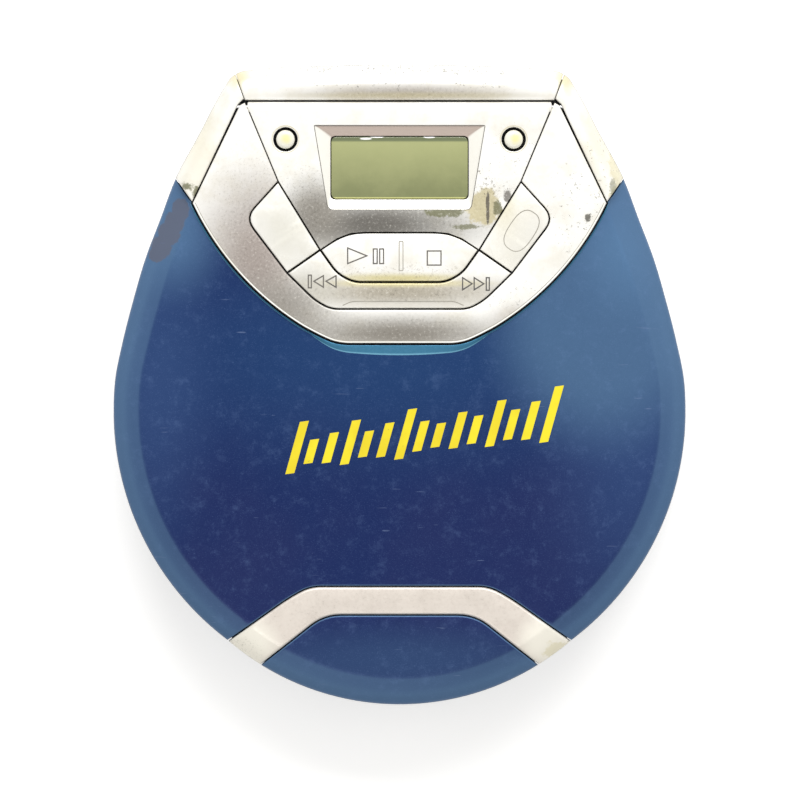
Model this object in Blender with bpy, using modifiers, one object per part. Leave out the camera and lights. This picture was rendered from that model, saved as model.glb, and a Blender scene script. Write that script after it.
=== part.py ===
"""Portable disc player with a hinged teardrop lid, modelled piece by piece.

The player lies flat on its four feet. +X is its right side, +Y its rear, where the lid is
hinged, and +Z is up. The origin is under the middle of its outer box.
"""
import math

import bmesh
import bpy
from mathutils import Matrix, Vector

MM = 0.001

# Whole body
RIM_WIDTH = 6.0 * MM
REAR_EXTENSION = 14.2 * MM
FRONT_BULGE = 1.6 * MM
GAP = 0.3 * MM
OVERRUN = 1.0 * MM
LIP = 0.4 * MM
SAME_PLACE = 0.004 * MM

# Disc and its well
DISC_RADIUS = 60.0 * MM
DISC_THICKNESS = 1.2 * MM
DISC_HOLE_RADIUS = 7.5 * MM
WELL_CLEARANCE = 1.0 * MM
UNDER_DISC = 1.8 * MM
OVER_DISC = 1.8 * MM
WELL_WALL = 1.4 * MM
WELL_WALL_HEIGHT = 1.6 * MM

# Bottom case and deck
FOOT_RADIUS = 4.0 * MM
FOOT_HEIGHT = 1.0 * MM
FOOT_INSET = 0.2 * MM
CASE_SKIN = 1.8 * MM
CASE_INSET = 0.8 * MM
CASE_ROUND_WIDTH = 9.0 * MM
CASE_ROUND_HEIGHT = 8.0 * MM
DECK_SKIN = 1.3 * MM
BOSS_RADIUS = 3.6 * MM
BOSS_HEIGHT = 2.2 * MM
POST_RADIUS = 2.6 * MM
SCREW_HEAD_RADIUS = 2.2 * MM
SCREW_HEAD_HEIGHT = 1.5 * MM
SCREW_SHANK_RADIUS = 0.9 * MM
SCREW_LENGTH = 9.0 * MM
SCREW_INSET = 12.4 * MM
FRONT_SCREW_ANGLE = math.radians(-57)
REAR_SCREW_ANGLE = math.radians(36)
FRONT_FOOT_SIDE_MARGIN = 27.0 * MM
FRONT_FOOT_MARGIN = 36.9 * MM
REAR_FOOT_MARGIN = 34.9 * MM

# Lid
LID_DEPTH = 5.0 * MM
LID_WALL = 1.8 * MM
LID_SKIN = 1.7 * MM
BEVEL_WIDTH = 6.2 * MM
BEVEL_DROP = 3.6 * MM
COVER_SKIN = 1.0 * MM
COVER_INSET = 5.2 * MM
COVER_POST_RADIUS = 2.2 * MM
COVER_POST_MARGIN = 23.0 * MM
COVER_POST_FRONT_Y = 30.0 * MM
COVER_POST_REAR_Y = 14.0 * MM
HINGE_RADIUS = 1.2 * MM
HINGE_PIN_RADIUS = 0.5 * MM
HINGE_BORE_CLEARANCE = 0.15 * MM
HINGE_PIN_LENGTH = 4.6 * MM

# Silver bars round the hinge
REAR_BAR_DEPTH = 8.5 * MM
BAR_GAP = 0.4 * MM
BAR_WALL = 1.5 * MM
BAR_SLOPE_WIDTH = 5.0 * MM
BAR_SLOPE_DROP = 4.5 * MM

# Control panel
PANEL_RISE = 1.0 * MM
PANEL_SKIN = 1.4 * MM
PANEL_SIDE_MARGIN = 18.6 * MM
PANEL_DEPTH = 56.5 * MM
PANEL_ARC_BULGE = 3.8 * MM
COLLAR_WIDTH = 2.6 * MM
COLLAR_RISE = 0.8 * MM
LEDGE = 1.6 * MM
KEY_TRAVEL = 0.5 * MM
KEY_PROUD = 0.2 * MM
KEY_STEM_RADIUS = 1.2 * MM
ROUND_BUTTON_RADIUS = 2.5 * MM
ROUND_BUTTON_PROUD = 0.5 * MM
ROUND_BUTTON_SETBACK = 8.8 * MM
LENS_SIDE_MARGIN = 19.86 * MM
LENS_LENGTH = 15.0 * MM
LENS_CORNER = 1.3 * MM
LENS_SETBACK = 7.9 * MM
LENS_DEPTH = 0.7 * MM
BEZEL_BACK_FLARE = 3.9 * MM
BEZEL_FRONT_FLARE = 0.6 * MM
BEZEL_MARGIN = 2.5 * MM
LCD_MARGIN = 1.6 * MM
LCD_THICKNESS = 1.7 * MM
KEY_BOARD_THICKNESS = 0.8 * MM
KEYPAD_THICKNESS = 0.4 * MM

# Arch and crescent at the front
ARCH_BAND = 6.7 * MM
ARCH_TOP_SETBACK = 27.8 * MM
ARCH_FOOT_SETBACK = 15.1 * MM

# Battery bay
BAY_WIDTH = 57.0 * MM
BAY_LENGTH = 30.5 * MM
BAY_REAR_MARGIN = 12.9 * MM
TUB_WALL = 1.2 * MM
TUB_LIFT = 0.8 * MM
DOOR_OVERLAP = 0.8 * MM
DOOR_GAP = 0.5 * MM
DOOR_HEIGHT = 5.9 * MM
DOOR_PIN_RADIUS = 0.45 * MM
DOOR_PIN_LENGTH = 1.4 * MM
CONTACT_THICKNESS = 0.4 * MM
CELL_RADIUS = 7.25 * MM
SPRING_WIRE = 0.35 * MM
BATTERY_SPRING_RADIUS = 3.2 * MM
BATTERY_SPRING_LENGTH = 4.2 * MM
BATTERY_SPRING_TURNS = 4
COIL_POINTS = 9

# Disc mechanism
CHASSIS_THICKNESS = 1.2 * MM
MECH_CLEARANCE = 1.5 * MM
SLED_CLEARANCE = 1.0 * MM
DAMPER_GAP = 1.4 * MM
DAMPER_RADIUS = 3.0 * MM
CHASSIS_HALF_LENGTH = 19.0 * MM
CHASSIS_LEFT = 22.0 * MM
CHASSIS_BEYOND_DISC = 2.0 * MM
CHASSIS_NECK_X = 36.0 * MM
CHASSIS_TIP_HALF = 12.0 * MM
RAIL_TAB = 1.4 * MM
RAIL_TAB_DROP = 5.4 * MM
MOTOR_RADIUS = 9.0 * MM
MOTOR_HEIGHT = 7.4 * MM
SHAFT_RADIUS = 0.75 * MM
SHAFT_CLEARANCE = 0.15 * MM
HUB_FLANGE_RADIUS = 13.5 * MM
HUB_FLANGE_THICKNESS = 1.3 * MM
HUB_NECK_RADIUS = 4.0 * MM
HUB_BOSS_HEIGHT = 1.9 * MM
HUB_CHAMFER = 0.6 * MM
HUB_FIT = 0.2 * MM
NUB_RADIUS = 0.9 * MM
NUB_SINK = 0.8 * MM
NUB_COUNT = 3
DECK_HUB_HOLE = 14.5 * MM
WINDOW_HALF_WIDTH = 7.0 * MM
SLED_MOTOR_GAP = 3.5 * MM
SLED_FRONT = 3.5 * MM
SLED_HALF_LENGTH = 11.0 * MM
SLED_HEIGHT = 4.8 * MM
RAIL_RADIUS = 1.2 * MM
RAIL_CLEARANCE = 0.15 * MM
RAIL_SPREAD = 8.6 * MM
RAIL_START = 10.5 * MM
LENS_HOLDER_LENGTH = 9.0 * MM
LENS_HOLDER_WIDTH = 8.0 * MM
LASER_LENS_RADIUS = 2.4 * MM
LASER_LENS_HEIGHT = 0.5 * MM
FOCUS_GAP = 0.6 * MM
RACK_MODULE = 0.8 * MM
RACK_BAR = 1.2 * MM
RACK_TEETH = 15
RACK_HEIGHT = 2.4 * MM
PINION_TEETH = 9
WHEEL_MODULE = 0.6 * MM
WHEEL_TEETH = 30
WHEEL_THICKNESS = 1.5 * MM
MOTOR_PINION_TEETH = 10
SLED_MOTOR_RADIUS = 5.5 * MM
SLED_MOTOR_ANGLE = math.radians(221.5)
GEAR_BORE_CLEARANCE = 0.15 * MM
AXLE_RADIUS = 1.0 * MM
tooth_tip_share = 0.2
laser_start_share = 0.4
tooth_height_share = 0.8
tooth_root_share = 1.05

# Boards and sockets
BOARD_THICKNESS = 1.2 * MM
BOARD_LIFT = 1.6 * MM
BOARD_INSET = 10.0 * MM
BOARD_BAY_GAP = 4.5 * MM
STANDOFF_RADIUS = 2.0 * MM
STANDOFF_INSET = 8.0 * MM
STANDOFF_COUNT = 3
STANDOFF_FIRST_ANGLE = math.radians(-150)
STANDOFF_STEP_ANGLE = math.radians(60)
CHIP_SIDE = 12.0 * MM
CHIP_INSET = 17.8 * MM
CHIP_GAP = 5.4 * MM
CHIP_THICKNESS = 1.4 * MM
CAPACITOR_RADIUS = 3.0 * MM
CAPACITOR_HEIGHT = 8.0 * MM
JACK_LENGTH = 11.0 * MM
JACK_WIDTH = 8.4 * MM
JACK_HEIGHT = 7.0 * MM
JACK_SETBACK = 2.6 * MM
JACK_NOSE_RADIUS = 3.0 * MM
JACK_BORE_RADIUS = 1.8 * MM
POWER_BORE_RADIUS = 2.3 * MM
JACK_BORE_DEPTH = 9.0 * MM
HEADPHONE_ANGLE = math.radians(190)
LINE_OUT_ANGLE = math.radians(204)
POWER_ANGLE = math.radians(218)

# Volume wheel and hold switch
VOLUME_ANGLE = math.radians(-28)
VOLUME_RADIUS = 9.0 * MM
VOLUME_THICKNESS = 2.6 * MM
VOLUME_PROUD = 0.8 * MM
VOLUME_BASE_SIDE = 4.0 * MM
VOLUME_RIBS = 30
rib_depth_share = 0.03
HOLD_ANGLE = math.radians(-47)
HOLD_KNOB_LENGTH = 7.0 * MM
HOLD_KNOB_HEIGHT = 3.4 * MM
HOLD_KNOB_THICKNESS = 0.5 * MM
HOLD_STEM_LENGTH = 2.6 * MM
HOLD_STEM_HEIGHT = 1.4 * MM
HOLD_STEM_DEPTH = 6.0 * MM
HOLD_TRAVEL = 2.0 * MM
HOLD_BODY_LENGTH = 8.0 * MM
HOLD_BODY_DEPTH = 4.0 * MM

# Open button and the lid's catch
OPEN_WIDTH = 16.0 * MM
OPEN_HEIGHT = 4.0 * MM
OPEN_DEPTH = 8.7 * MM
OPEN_DROP = 1.6 * MM
OPEN_PROUD = 0.6 * MM
OPEN_SPRING_RADIUS = 1.6 * MM
OPEN_SPRING_LENGTH = 5.0 * MM
OPEN_SPRING_TURNS = 5
CATCH_WIDTH = 8.0 * MM
CATCH_THICKNESS = 1.2 * MM
CATCH_SETBACK = 3.7 * MM
CATCH_CLEARANCE = 1.0 * MM

# Places worked out from the sizes above
WELL_RADIUS = DISC_RADIUS + WELL_CLEARANCE
LID_RADIUS = WELL_RADIUS + RIM_WIDTH
BODY_LENGTH = FRONT_BULGE + 2 * LID_RADIUS + REAR_EXTENSION
CENTRE_Y = (FRONT_BULGE - REAR_EXTENSION) / 2
REAR_Y = BODY_LENGTH / 2
SCREW_RING = LID_RADIUS - SCREW_INSET
PANEL_HALF_WIDTH = LID_RADIUS - PANEL_SIDE_MARGIN
ARCH_TOP_Y = REAR_Y - ARCH_TOP_SETBACK
ARCH_FOOT_Y = REAR_Y - ARCH_FOOT_SETBACK
ARCH_FOOT_X = math.sqrt(LID_RADIUS ** 2 - (ARCH_FOOT_Y + CENTRE_Y) ** 2)
BAY_FRONT_Y = REAR_Y - BAY_REAR_MARGIN - BAY_LENGTH
BAY_SIDE = BAY_WIDTH / 2 + TUB_WALL + DOOR_OVERLAP
WINDOW_END = WELL_RADIUS
LASER_START = DISC_RADIUS * laser_start_share
SLED_LEFT = MOTOR_RADIUS + SLED_MOTOR_GAP
CHASSIS_RIGHT = DISC_RADIUS + CHASSIS_BEYOND_DISC
BOARD_RADIUS = LID_RADIUS - BOARD_INSET
BOARD_REAR_Y = BAY_FRONT_Y - BOARD_BAY_GAP
STANDOFF_RING = BOARD_RADIUS - STANDOFF_INSET
CASE_BOTTOM = FOOT_HEIGHT
CASE_FLOOR = CASE_BOTTOM + CASE_SKIN
BOARD_BOTTOM = CASE_FLOOR + BOARD_LIFT
BOARD_TOP = BOARD_BOTTOM + BOARD_THICKNESS
WHEEL_LOW = BOARD_TOP + MECH_CLEARANCE
SLED_LOW = WHEEL_LOW + WHEEL_THICKNESS + GAP * 2
RAIL_Z = SLED_LOW + SLED_HEIGHT / 2
CHASSIS_BOTTOM = SLED_LOW + SLED_HEIGHT + SLED_CLEARANCE
CHASSIS_TOP = CHASSIS_BOTTOM + CHASSIS_THICKNESS
DECK_BOTTOM = CHASSIS_TOP + DAMPER_GAP + GAP
CASE_TOP = DECK_BOTTOM - GAP
DECK_TOP = DECK_BOTTOM + DECK_SKIN
LID_BOTTOM = DECK_TOP + GAP
DISC_BOTTOM = DECK_TOP + UNDER_DISC
COVER_BOTTOM = DISC_BOTTOM + DISC_THICKNESS + OVER_DISC
COVER_TOP = COVER_BOTTOM + COVER_SKIN
LID_TOP = COVER_BOTTOM + LID_DEPTH
PANEL_TOP = LID_TOP + PANEL_RISE
PANEL_BOTTOM = PANEL_TOP - PANEL_SKIN
BAR_FRONT_Y = REAR_Y - REAR_BAR_DEPTH
PANEL_REAR_Y = BAR_FRONT_Y - BAR_GAP
HINGE_Y = PANEL_REAR_Y - HINGE_RADIUS
HINGE_Z = PANEL_TOP - HINGE_RADIUS
KEY_BOARD_BOTTOM = COVER_TOP + GAP
KEYPAD_BOTTOM = KEY_BOARD_BOTTOM + KEY_BOARD_THICKNESS + GAP
STEM_BOTTOM = KEYPAD_BOTTOM + KEYPAD_THICKNESS + KEY_TRAVEL + GAP / 2
OPEN_LOW = CASE_TOP - OPEN_DROP - OPEN_HEIGHT

# Outline of the whole body: shares of its half width and of the length behind the disc's centre
body_side_shares = [
    (0.995, 0.089), (0.967, 0.206), (0.931, 0.322), (0.890, 0.438), (0.837, 0.554),
    (0.782, 0.673), (0.701, 0.798), (0.611, 0.936), (0.590, 0.962), (0.560, 0.978),
    (0.510, 0.985), (0.260, 0.996), (0.0, 1.0),
]
FRONT_ARC_STEPS = 8
CRESCENT_STEPS = 7
CENTRE_SHIFT_share = 0.08

# Profiles of the shells: shares of (inset, height), from the outside in
lid_profile_shares = [(0.0, 1.25), (0.06, 0.95), (0.2, 0.75), (1.0, 0.08), (1.25, 0.0)]
bar_profile_shares = [(0.0, 1.0), (0.08, 0.7), (0.35, 0.28), (1.0, 0.0)]
case_profile_shares = [(1.0, 0.0), (0.55, 0.1), (0.2, 0.4), (0.04, 0.75), (0.0, 1.0)]

# Outlines on the control panel: shares of its half width and of its depth from the hinge line
PANEL_START_shares = (0.772, 0.014)
PANEL_CHAMFER_shares = (0.745, 0.0)
PANEL_HORN_shares = (1.0, 0.419)
PANEL_ARC_END_shares = (0.355, 0.982)
PANEL_FRONT_shares = (0.277, 1.0)
TRAPEZOID_BACK_shares = (0.745, 0.0)
TRAPEZOID_BEND_shares = (0.585, 0.329)
TRAPEZOID_FRONT_shares = (0.382, 0.612)
KEY_CORNER_shares = (0.745, 0.480)
KEY_END_shares = (0.543, 0.708)
ROCKER_BACK_shares = [(0.300, 0.566), (0.235, 0.545), (0.167, 0.540)]
ROCKER_FRONT_shares = [(0.302, 0.708), (0.223, 0.745)]
SKIP_FRONT_shares = [(0.411, 0.819), (0.333, 0.857)]
HORN_OUTER_shares = (1.085, 0.315)
LENS_WIDTH = 2 * (TRAPEZOID_BACK_shares[0] * PANEL_HALF_WIDTH - LENS_SIDE_MARGIN)

# Other shares, each of the size named in the code beside it
arch_knee_share = 0.52
arch_shoulder_share = 0.65
arch_shoulder_drop_share = 0.85
arch_end_drop_share = 1.15
bar_mitre_reach_share = 1.35
button_place_share = 0.53
button_dome_shares = [(1.0, 1.6), (0.85, 0.7), (0.55, 0.2)]
screw_slot_width_share = 0.35
screw_slot_reach_share = 1.4
gear_tooth_foot_share = 0.27
rack_tooth_foot_share = 0.29
rack_start_share = 0.75
mitre_limit_share = 0.5

COLOURS = {
    "lid_blue": ((0.05, 0.085, 0.26, 1.0), 0.32, 0.35),
    "panel_silver": ((0.62, 0.60, 0.58, 1.0), 0.34, 0.55),
    "case_blue": ((0.04, 0.06, 0.17, 1.0), 0.42, 0.1),
    "deck_grey": ((0.16, 0.17, 0.19, 1.0), 0.5, 0.0),
    "cover_grey": ((0.20, 0.21, 0.24, 1.0), 0.5, 0.0),
    "button_cream": ((0.80, 0.78, 0.68, 1.0), 0.4, 0.0),
    "lens_olive": ((0.42, 0.44, 0.28, 1.0), 0.12, 0.0),
    "rubber_black": ((0.03, 0.03, 0.03, 1.0), 0.8, 0.0),
    "rubber_grey": ((0.35, 0.35, 0.34, 1.0), 0.8, 0.0),
    "steel": ((0.60, 0.60, 0.60, 1.0), 0.3, 1.0),
    "brass": ((0.75, 0.60, 0.30, 1.0), 0.35, 1.0),
    "board_green": ((0.04, 0.22, 0.12, 1.0), 0.45, 0.0),
    "gear_white": ((0.80, 0.80, 0.77, 1.0), 0.5, 0.0),
    "black_plastic": ((0.03, 0.03, 0.035, 1.0), 0.45, 0.0),
    "laser_glass": ((0.25, 0.30, 0.55, 1.0), 0.05, 0.0),
}


# Scene and helpers


def clear_scene():
    for item in list(bpy.data.objects):
        bpy.data.objects.remove(item, do_unlink=True)


def make_collection(name):
    group = bpy.data.collections.new(name)
    bpy.context.scene.collection.children.link(group)
    return group


def make_material(name):
    colour, roughness, metallic = COLOURS[name]
    material = bpy.data.materials.new(name)
    material.use_nodes = True
    shader = material.node_tree.nodes["Principled BSDF"]
    shader.inputs["Base Color"].default_value = colour
    shader.inputs["Roughness"].default_value = roughness
    shader.inputs["Metallic"].default_value = metallic
    material.diffuse_color = colour
    return material


def add_object(name, data, material=None, origin=(0, 0, 0)):
    """Link new data as a part, or as a cutter where it has no material."""
    item = bpy.data.objects.new(name, data)
    item.location = origin
    if material is None:
        CUTTERS.objects.link(item)
        item.hide_render = True
        item.display_type = "WIRE"
    else:
        PARTS.objects.link(item)
        data.materials.append(MATERIALS[material])
    return item


def mesh_object(name, shape, material=None, origin=(0, 0, 0)):
    """Turn a bmesh in world coordinates into an object whose origin is at the given point."""
    bmesh.ops.translate(shape, verts=shape.verts, vec=-Vector(origin))
    bmesh.ops.recalc_face_normals(shape, faces=shape.faces)
    mesh = bpy.data.meshes.new(name)
    shape.to_mesh(mesh)
    shape.free()
    return add_object(name, mesh, material, origin)


def loft_shape(rings):
    """Closed skin over rings of equally many points, each a list of (x, y, z)."""
    shape = bmesh.new()
    rows = [[shape.verts.new(point) for point in ring] for ring in rings]
    count = len(rows[0])
    for lower, upper in zip(rows, rows[1:]):
        for i in range(count):
            j = (i + 1) % count
            shape.faces.new((lower[i], lower[j], upper[j], upper[i]))
    shape.faces.new(rows[0])
    shape.faces.new(rows[-1])
    return shape


def loft(name, rings, material=None, origin=(0, 0, 0)):
    return mesh_object(name, loft_shape(rings), material, origin)


def circle_ring(centre, radius, z, sides):
    angles = [math.tau * i / sides for i in range(sides)]
    return [(centre[0] + radius * math.cos(angle), centre[1] + radius * math.sin(angle), z)
            for angle in angles]


def prism(name, outline, low, high, material=None, origin=(0, 0, 0)):
    rings = [[(x, y, z) for x, y in outline] for z in (low, high)]
    return loft(name, rings, material, origin)


def box_shape(low, high):
    shape = bmesh.new()
    bmesh.ops.create_cube(shape, size=1.0)
    size = Vector(high) - Vector(low)
    middle = (Vector(high) + Vector(low)) / 2
    bmesh.ops.scale(shape, verts=shape.verts, vec=size)
    bmesh.ops.translate(shape, verts=shape.verts, vec=middle)
    return shape


def box(name, low, high, material=None, origin=(0, 0, 0)):
    return mesh_object(name, box_shape(low, high), material, origin)


def rod_shape(start, end, radius, sides=20, end_radius=None):
    """Cylinder or cone from one point to another."""
    shape = bmesh.new()
    along = Vector(end) - Vector(start)
    top = radius if end_radius is None else end_radius
    bmesh.ops.create_cone(shape, cap_ends=True, segments=sides, radius1=radius, radius2=top,
                          depth=along.length)
    turn = Vector((0, 0, 1)).rotation_difference(along).to_matrix().to_4x4()
    place = Matrix.Translation((Vector(start) + Vector(end)) / 2) @ turn
    bmesh.ops.transform(shape, matrix=place, verts=shape.verts)
    return shape


def rod(name, start, end, radius, material=None, origin=(0, 0, 0), sides=20, end_radius=None):
    return mesh_object(name, rod_shape(start, end, radius, sides, end_radius), material, origin)


def turned(name, profile, centre, material=None, sides=32, origin=(0, 0, 0)):
    """Ring or disc with a closed profile of (radius, z), turned about a vertical axis."""
    rings = [[(centre[0] + radius * math.cos(angle), centre[1] + radius * math.sin(angle), z)
              for radius, z in profile]
             for angle in [math.tau * i / sides for i in range(sides)]]
    shape = bmesh.new()
    rows = [[shape.verts.new(point) for point in ring] for ring in rings]
    count = len(profile)
    for i in range(sides):
        here, there = rows[i], rows[(i + 1) % sides]
        for j in range(count):
            k = (j + 1) % count
            shape.faces.new((here[j], there[j], there[k], here[k]))
    return mesh_object(name, shape, material, origin)


def turn_about(item, angle, centre=None):
    """Turn an object's mesh about a vertical axis through the disc's centre or another point."""
    middle = Vector((0, CENTRE_Y, 0)) if centre is None else Vector(centre)
    shift = middle - item.location
    turn = Matrix.Translation(shift) @ Matrix.Rotation(angle, 4, "Z") @ Matrix.Translation(-shift)
    item.data.transform(turn)
    return item


def boolean(item, other, operation):
    step = item.modifiers.new(operation.title() + " " + other.name, "BOOLEAN")
    step.operation = operation
    step.solver = "EXACT"
    step.object = other
    return item


def cut(item, *others):
    for other in others:
        boolean(item, other, "DIFFERENCE")
    return item


def join(item, *others):
    for other in others:
        boolean(item, other, "UNION")
    return item


def keep(item, other):
    return boolean(item, other, "INTERSECT")


def smooth(item, degrees=35):
    item.data.shade_smooth()
    item.data.set_sharp_from_angle(angle=math.radians(degrees))
    return item


def coil(name, start, axis, radius, wire, length, turns, material):
    """Open coil spring: one unbroken wire wound from start along an axis."""
    along = Vector(axis).normalized()
    across = along.orthogonal().normalized()
    third = along.cross(across)
    count = turns * COIL_POINTS + 1
    curve = bpy.data.curves.new(name, "CURVE")
    curve.dimensions = "3D"
    curve.bevel_depth = wire
    curve.bevel_resolution = 1
    curve.use_fill_caps = True
    line = curve.splines.new("POLY")
    line.points.add(count - 1)
    for i in range(count):
        angle = math.tau * i / COIL_POINTS
        place = (Vector(start) + along * (wire + (length - wire - wire) * i / (count - 1))
                 + across * (radius * math.cos(angle)) + third * (radius * math.sin(angle)))
        line.points[i].co = (place.x, place.y, place.z, 1)
    return add_object(name, curve, material)


# Outlines


def arc_between(start, end, bulge, steps):
    """Points of an arc from start up to, but without, end; a positive bulge is to its left."""
    start, end = Vector(start), Vector(end)
    chord = end - start
    radius = (chord.length ** 2 / 4 + bulge ** 2) / (2 * abs(bulge))
    normal = Vector((-chord.y, chord.x)).normalized() * math.copysign(1, bulge)
    centre = (start + end) / 2 - normal * (radius - abs(bulge))
    first = start - centre
    sweep = -math.copysign(2 * math.asin(chord.length / 2 / radius), bulge)
    points = []
    for i in range(steps):
        spot = Matrix.Rotation(sweep * i / steps, 2) @ first
        points.append(tuple(centre + spot))
    return points


def mirrored(half):
    """Full outline from a right half that runs from one end of the middle line to the other."""
    left = [(-x, y) for x, y in reversed(half) if abs(x) > SAME_PLACE]
    return half + left


def body_half():
    """Right half of the body's outline, from the front middle round to the rear middle."""
    front_y = -REAR_Y
    rise = -ARCH_FOOT_Y - front_y
    bulge_radius = (ARCH_FOOT_X ** 2 + rise ** 2) / (2 * rise)
    half = []
    reach = math.asin(ARCH_FOOT_X / bulge_radius)
    for i in range(CRESCENT_STEPS):
        angle = reach * i / CRESCENT_STEPS
        half.append((bulge_radius * math.sin(angle),
                     front_y + bulge_radius * (1 - math.cos(angle))))
    first = math.atan2(-ARCH_FOOT_Y - CENTRE_Y, ARCH_FOOT_X)
    for i in range(FRONT_ARC_STEPS + 1):
        angle = first * (1 - i / FRONT_ARC_STEPS)
        half.append((LID_RADIUS * math.cos(angle), CENTRE_Y + LID_RADIUS * math.sin(angle)))
    behind = REAR_Y - CENTRE_Y
    half += [(x * LID_RADIUS, CENTRE_Y + y * behind) for x, y in body_side_shares]
    return half


def body_ring(inset, z):
    """The body's outline, drawn in towards its middle, at a height."""
    middle = Vector((0, CENTRE_Y + CENTRE_SHIFT_share * BODY_LENGTH))
    ring = []
    for point in mirrored(body_half()):
        inward = middle - Vector(point)
        spot = Vector(point) + inward.normalized() * inset
        ring.append((spot.x, spot.y, z))
    return ring


def moved_outline(points, distance):
    """Outline moved outward by a distance, or inward where it is negative."""
    count = len(points)
    area = sum(points[i][0] * points[(i + 1) % count][1]
               - points[(i + 1) % count][0] * points[i][1] for i in range(count))
    side = math.copysign(1, area)
    result = []
    for i in range(count):
        here = Vector(points[i])
        before = (here - Vector(points[i - 1])).normalized()
        after = (Vector(points[(i + 1) % count]) - here).normalized()
        normal_a = Vector((before.y, -before.x)) * side
        normal_b = Vector((after.y, -after.x)) * side
        bisector = normal_a + normal_b
        scale = 2 / max(bisector.length_squared, mitre_limit_share)
        result.append(tuple(here + bisector * (distance * scale)))
    return result


def rounded_corner(before, corner, after, radius, steps=4):
    """Points that round one corner of an outline."""
    corner = Vector(corner)
    to_before = (Vector(before) - corner).normalized()
    to_after = (Vector(after) - corner).normalized()
    start = corner + to_before * radius
    end = corner + to_after * radius
    points = []
    for i in range(steps + 1):
        t = i / steps
        points.append(tuple(start * (1 - t) ** 2 + corner * (2 * t * (1 - t)) + end * t ** 2))
    return points


def on_panel(share):
    return (share[0] * PANEL_HALF_WIDTH, PANEL_REAR_Y - share[1] * PANEL_DEPTH)


def panel_outer_half():
    """Right half of the control panel's outer edge, from its rear corner to its front middle."""
    horn = on_panel(PANEL_HORN_shares)
    arc_end = on_panel(PANEL_ARC_END_shares)
    edge = [on_panel(PANEL_START_shares)]
    edge += arc_between(horn, arc_end, PANEL_ARC_BULGE, 8)
    edge += [arc_end, on_panel(PANEL_FRONT_shares)]
    return edge


def panel_inner_half():
    """Right half of the opening in the control panel, from its front middle to the rear."""
    opening = [on_panel(share) for share in reversed(SKIP_FRONT_shares)]
    opening += [on_panel(KEY_END_shares)]
    opening += rounded_corner(on_panel(KEY_END_shares), on_panel(KEY_CORNER_shares),
                              on_panel(TRAPEZOID_BEND_shares), ROUND_BUTTON_RADIUS)
    opening += [on_panel(TRAPEZOID_BEND_shares), on_panel(TRAPEZOID_BACK_shares)]
    return opening


def two_sided(half):
    """Full outline from a right half that does not touch the middle line."""
    return half + [(-x, y) for x, y in reversed(half)]


# Shells that several pieces are cut from


def lid_rings(inset, drop, bottom):
    rings = [body_ring(inset, bottom)]
    rings += [body_ring(across * BEVEL_WIDTH + inset, LID_TOP - down * BEVEL_DROP - drop)
              for across, down in lid_profile_shares]
    return rings


def lid_skin(name, material):
    """The lid's whole curved skin, hollow and open underneath."""
    skin = loft(name, lid_rings(0, 0, LID_BOTTOM), material)
    hollow = loft(name + "_hollow", lid_rings(LID_WALL, LID_SKIN, LID_BOTTOM - OVERRUN))
    return cut(skin, hollow)


def bar_rings(inset, drop, bottom):
    rings = [body_ring(inset, bottom)]
    rings += [body_ring(across * BAR_SLOPE_WIDTH + inset, PANEL_TOP - down * BAR_SLOPE_DROP - drop)
              for across, down in bar_profile_shares]
    return rings


def case_rings(inset, lift, top):
    rings = [body_ring(CASE_INSET + across * CASE_ROUND_WIDTH + inset,
                       CASE_BOTTOM + up * CASE_ROUND_HEIGHT + lift)
             for across, up in case_profile_shares]
    rings.append(body_ring(CASE_INSET + inset, top))
    return rings


# Lid


def lid_region():
    """Outline that the lid fills: the body without the three silver bars."""
    horn = on_panel(PANEL_HORN_shares)
    outer = on_panel(HORN_OUTER_shares)
    reach = outer[0] + LID_RADIUS
    return mirrored([(0, PANEL_REAR_Y), on_panel(PANEL_CHAMFER_shares),
                     on_panel(PANEL_START_shares), horn, outer,
                     (reach, outer[1] + LID_RADIUS / 2), (reach, -REAR_Y - OVERRUN),
                     (0, -REAR_Y - OVERRUN)])


def arch_outer_half():
    """Right half of the arch's rear edge, from its knee to past the lid's edge."""
    knee_x = ARCH_FOOT_X * arch_knee_share
    shoulder_x = ARCH_FOOT_X * arch_shoulder_share
    slope = (ARCH_FOOT_Y - ARCH_TOP_Y) / (ARCH_FOOT_X - knee_x)
    shoulder_drop = slope * (shoulder_x - knee_x) * arch_shoulder_drop_share
    end_drop = slope * BEVEL_WIDTH * arch_end_drop_share
    return [(knee_x, -ARCH_TOP_Y), (shoulder_x, -ARCH_TOP_Y - shoulder_drop),
            (ARCH_FOOT_X + BEVEL_WIDTH, -ARCH_FOOT_Y - end_drop)]


def arch_line(drop):
    """The arch's edge moved forward by a distance, closed far in front of the lid."""
    edge = arch_outer_half()
    corner = (edge[-1][0], -REAR_Y - LID_RADIUS)
    return moved_outline(two_sided(edge + [corner]), -drop)


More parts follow.
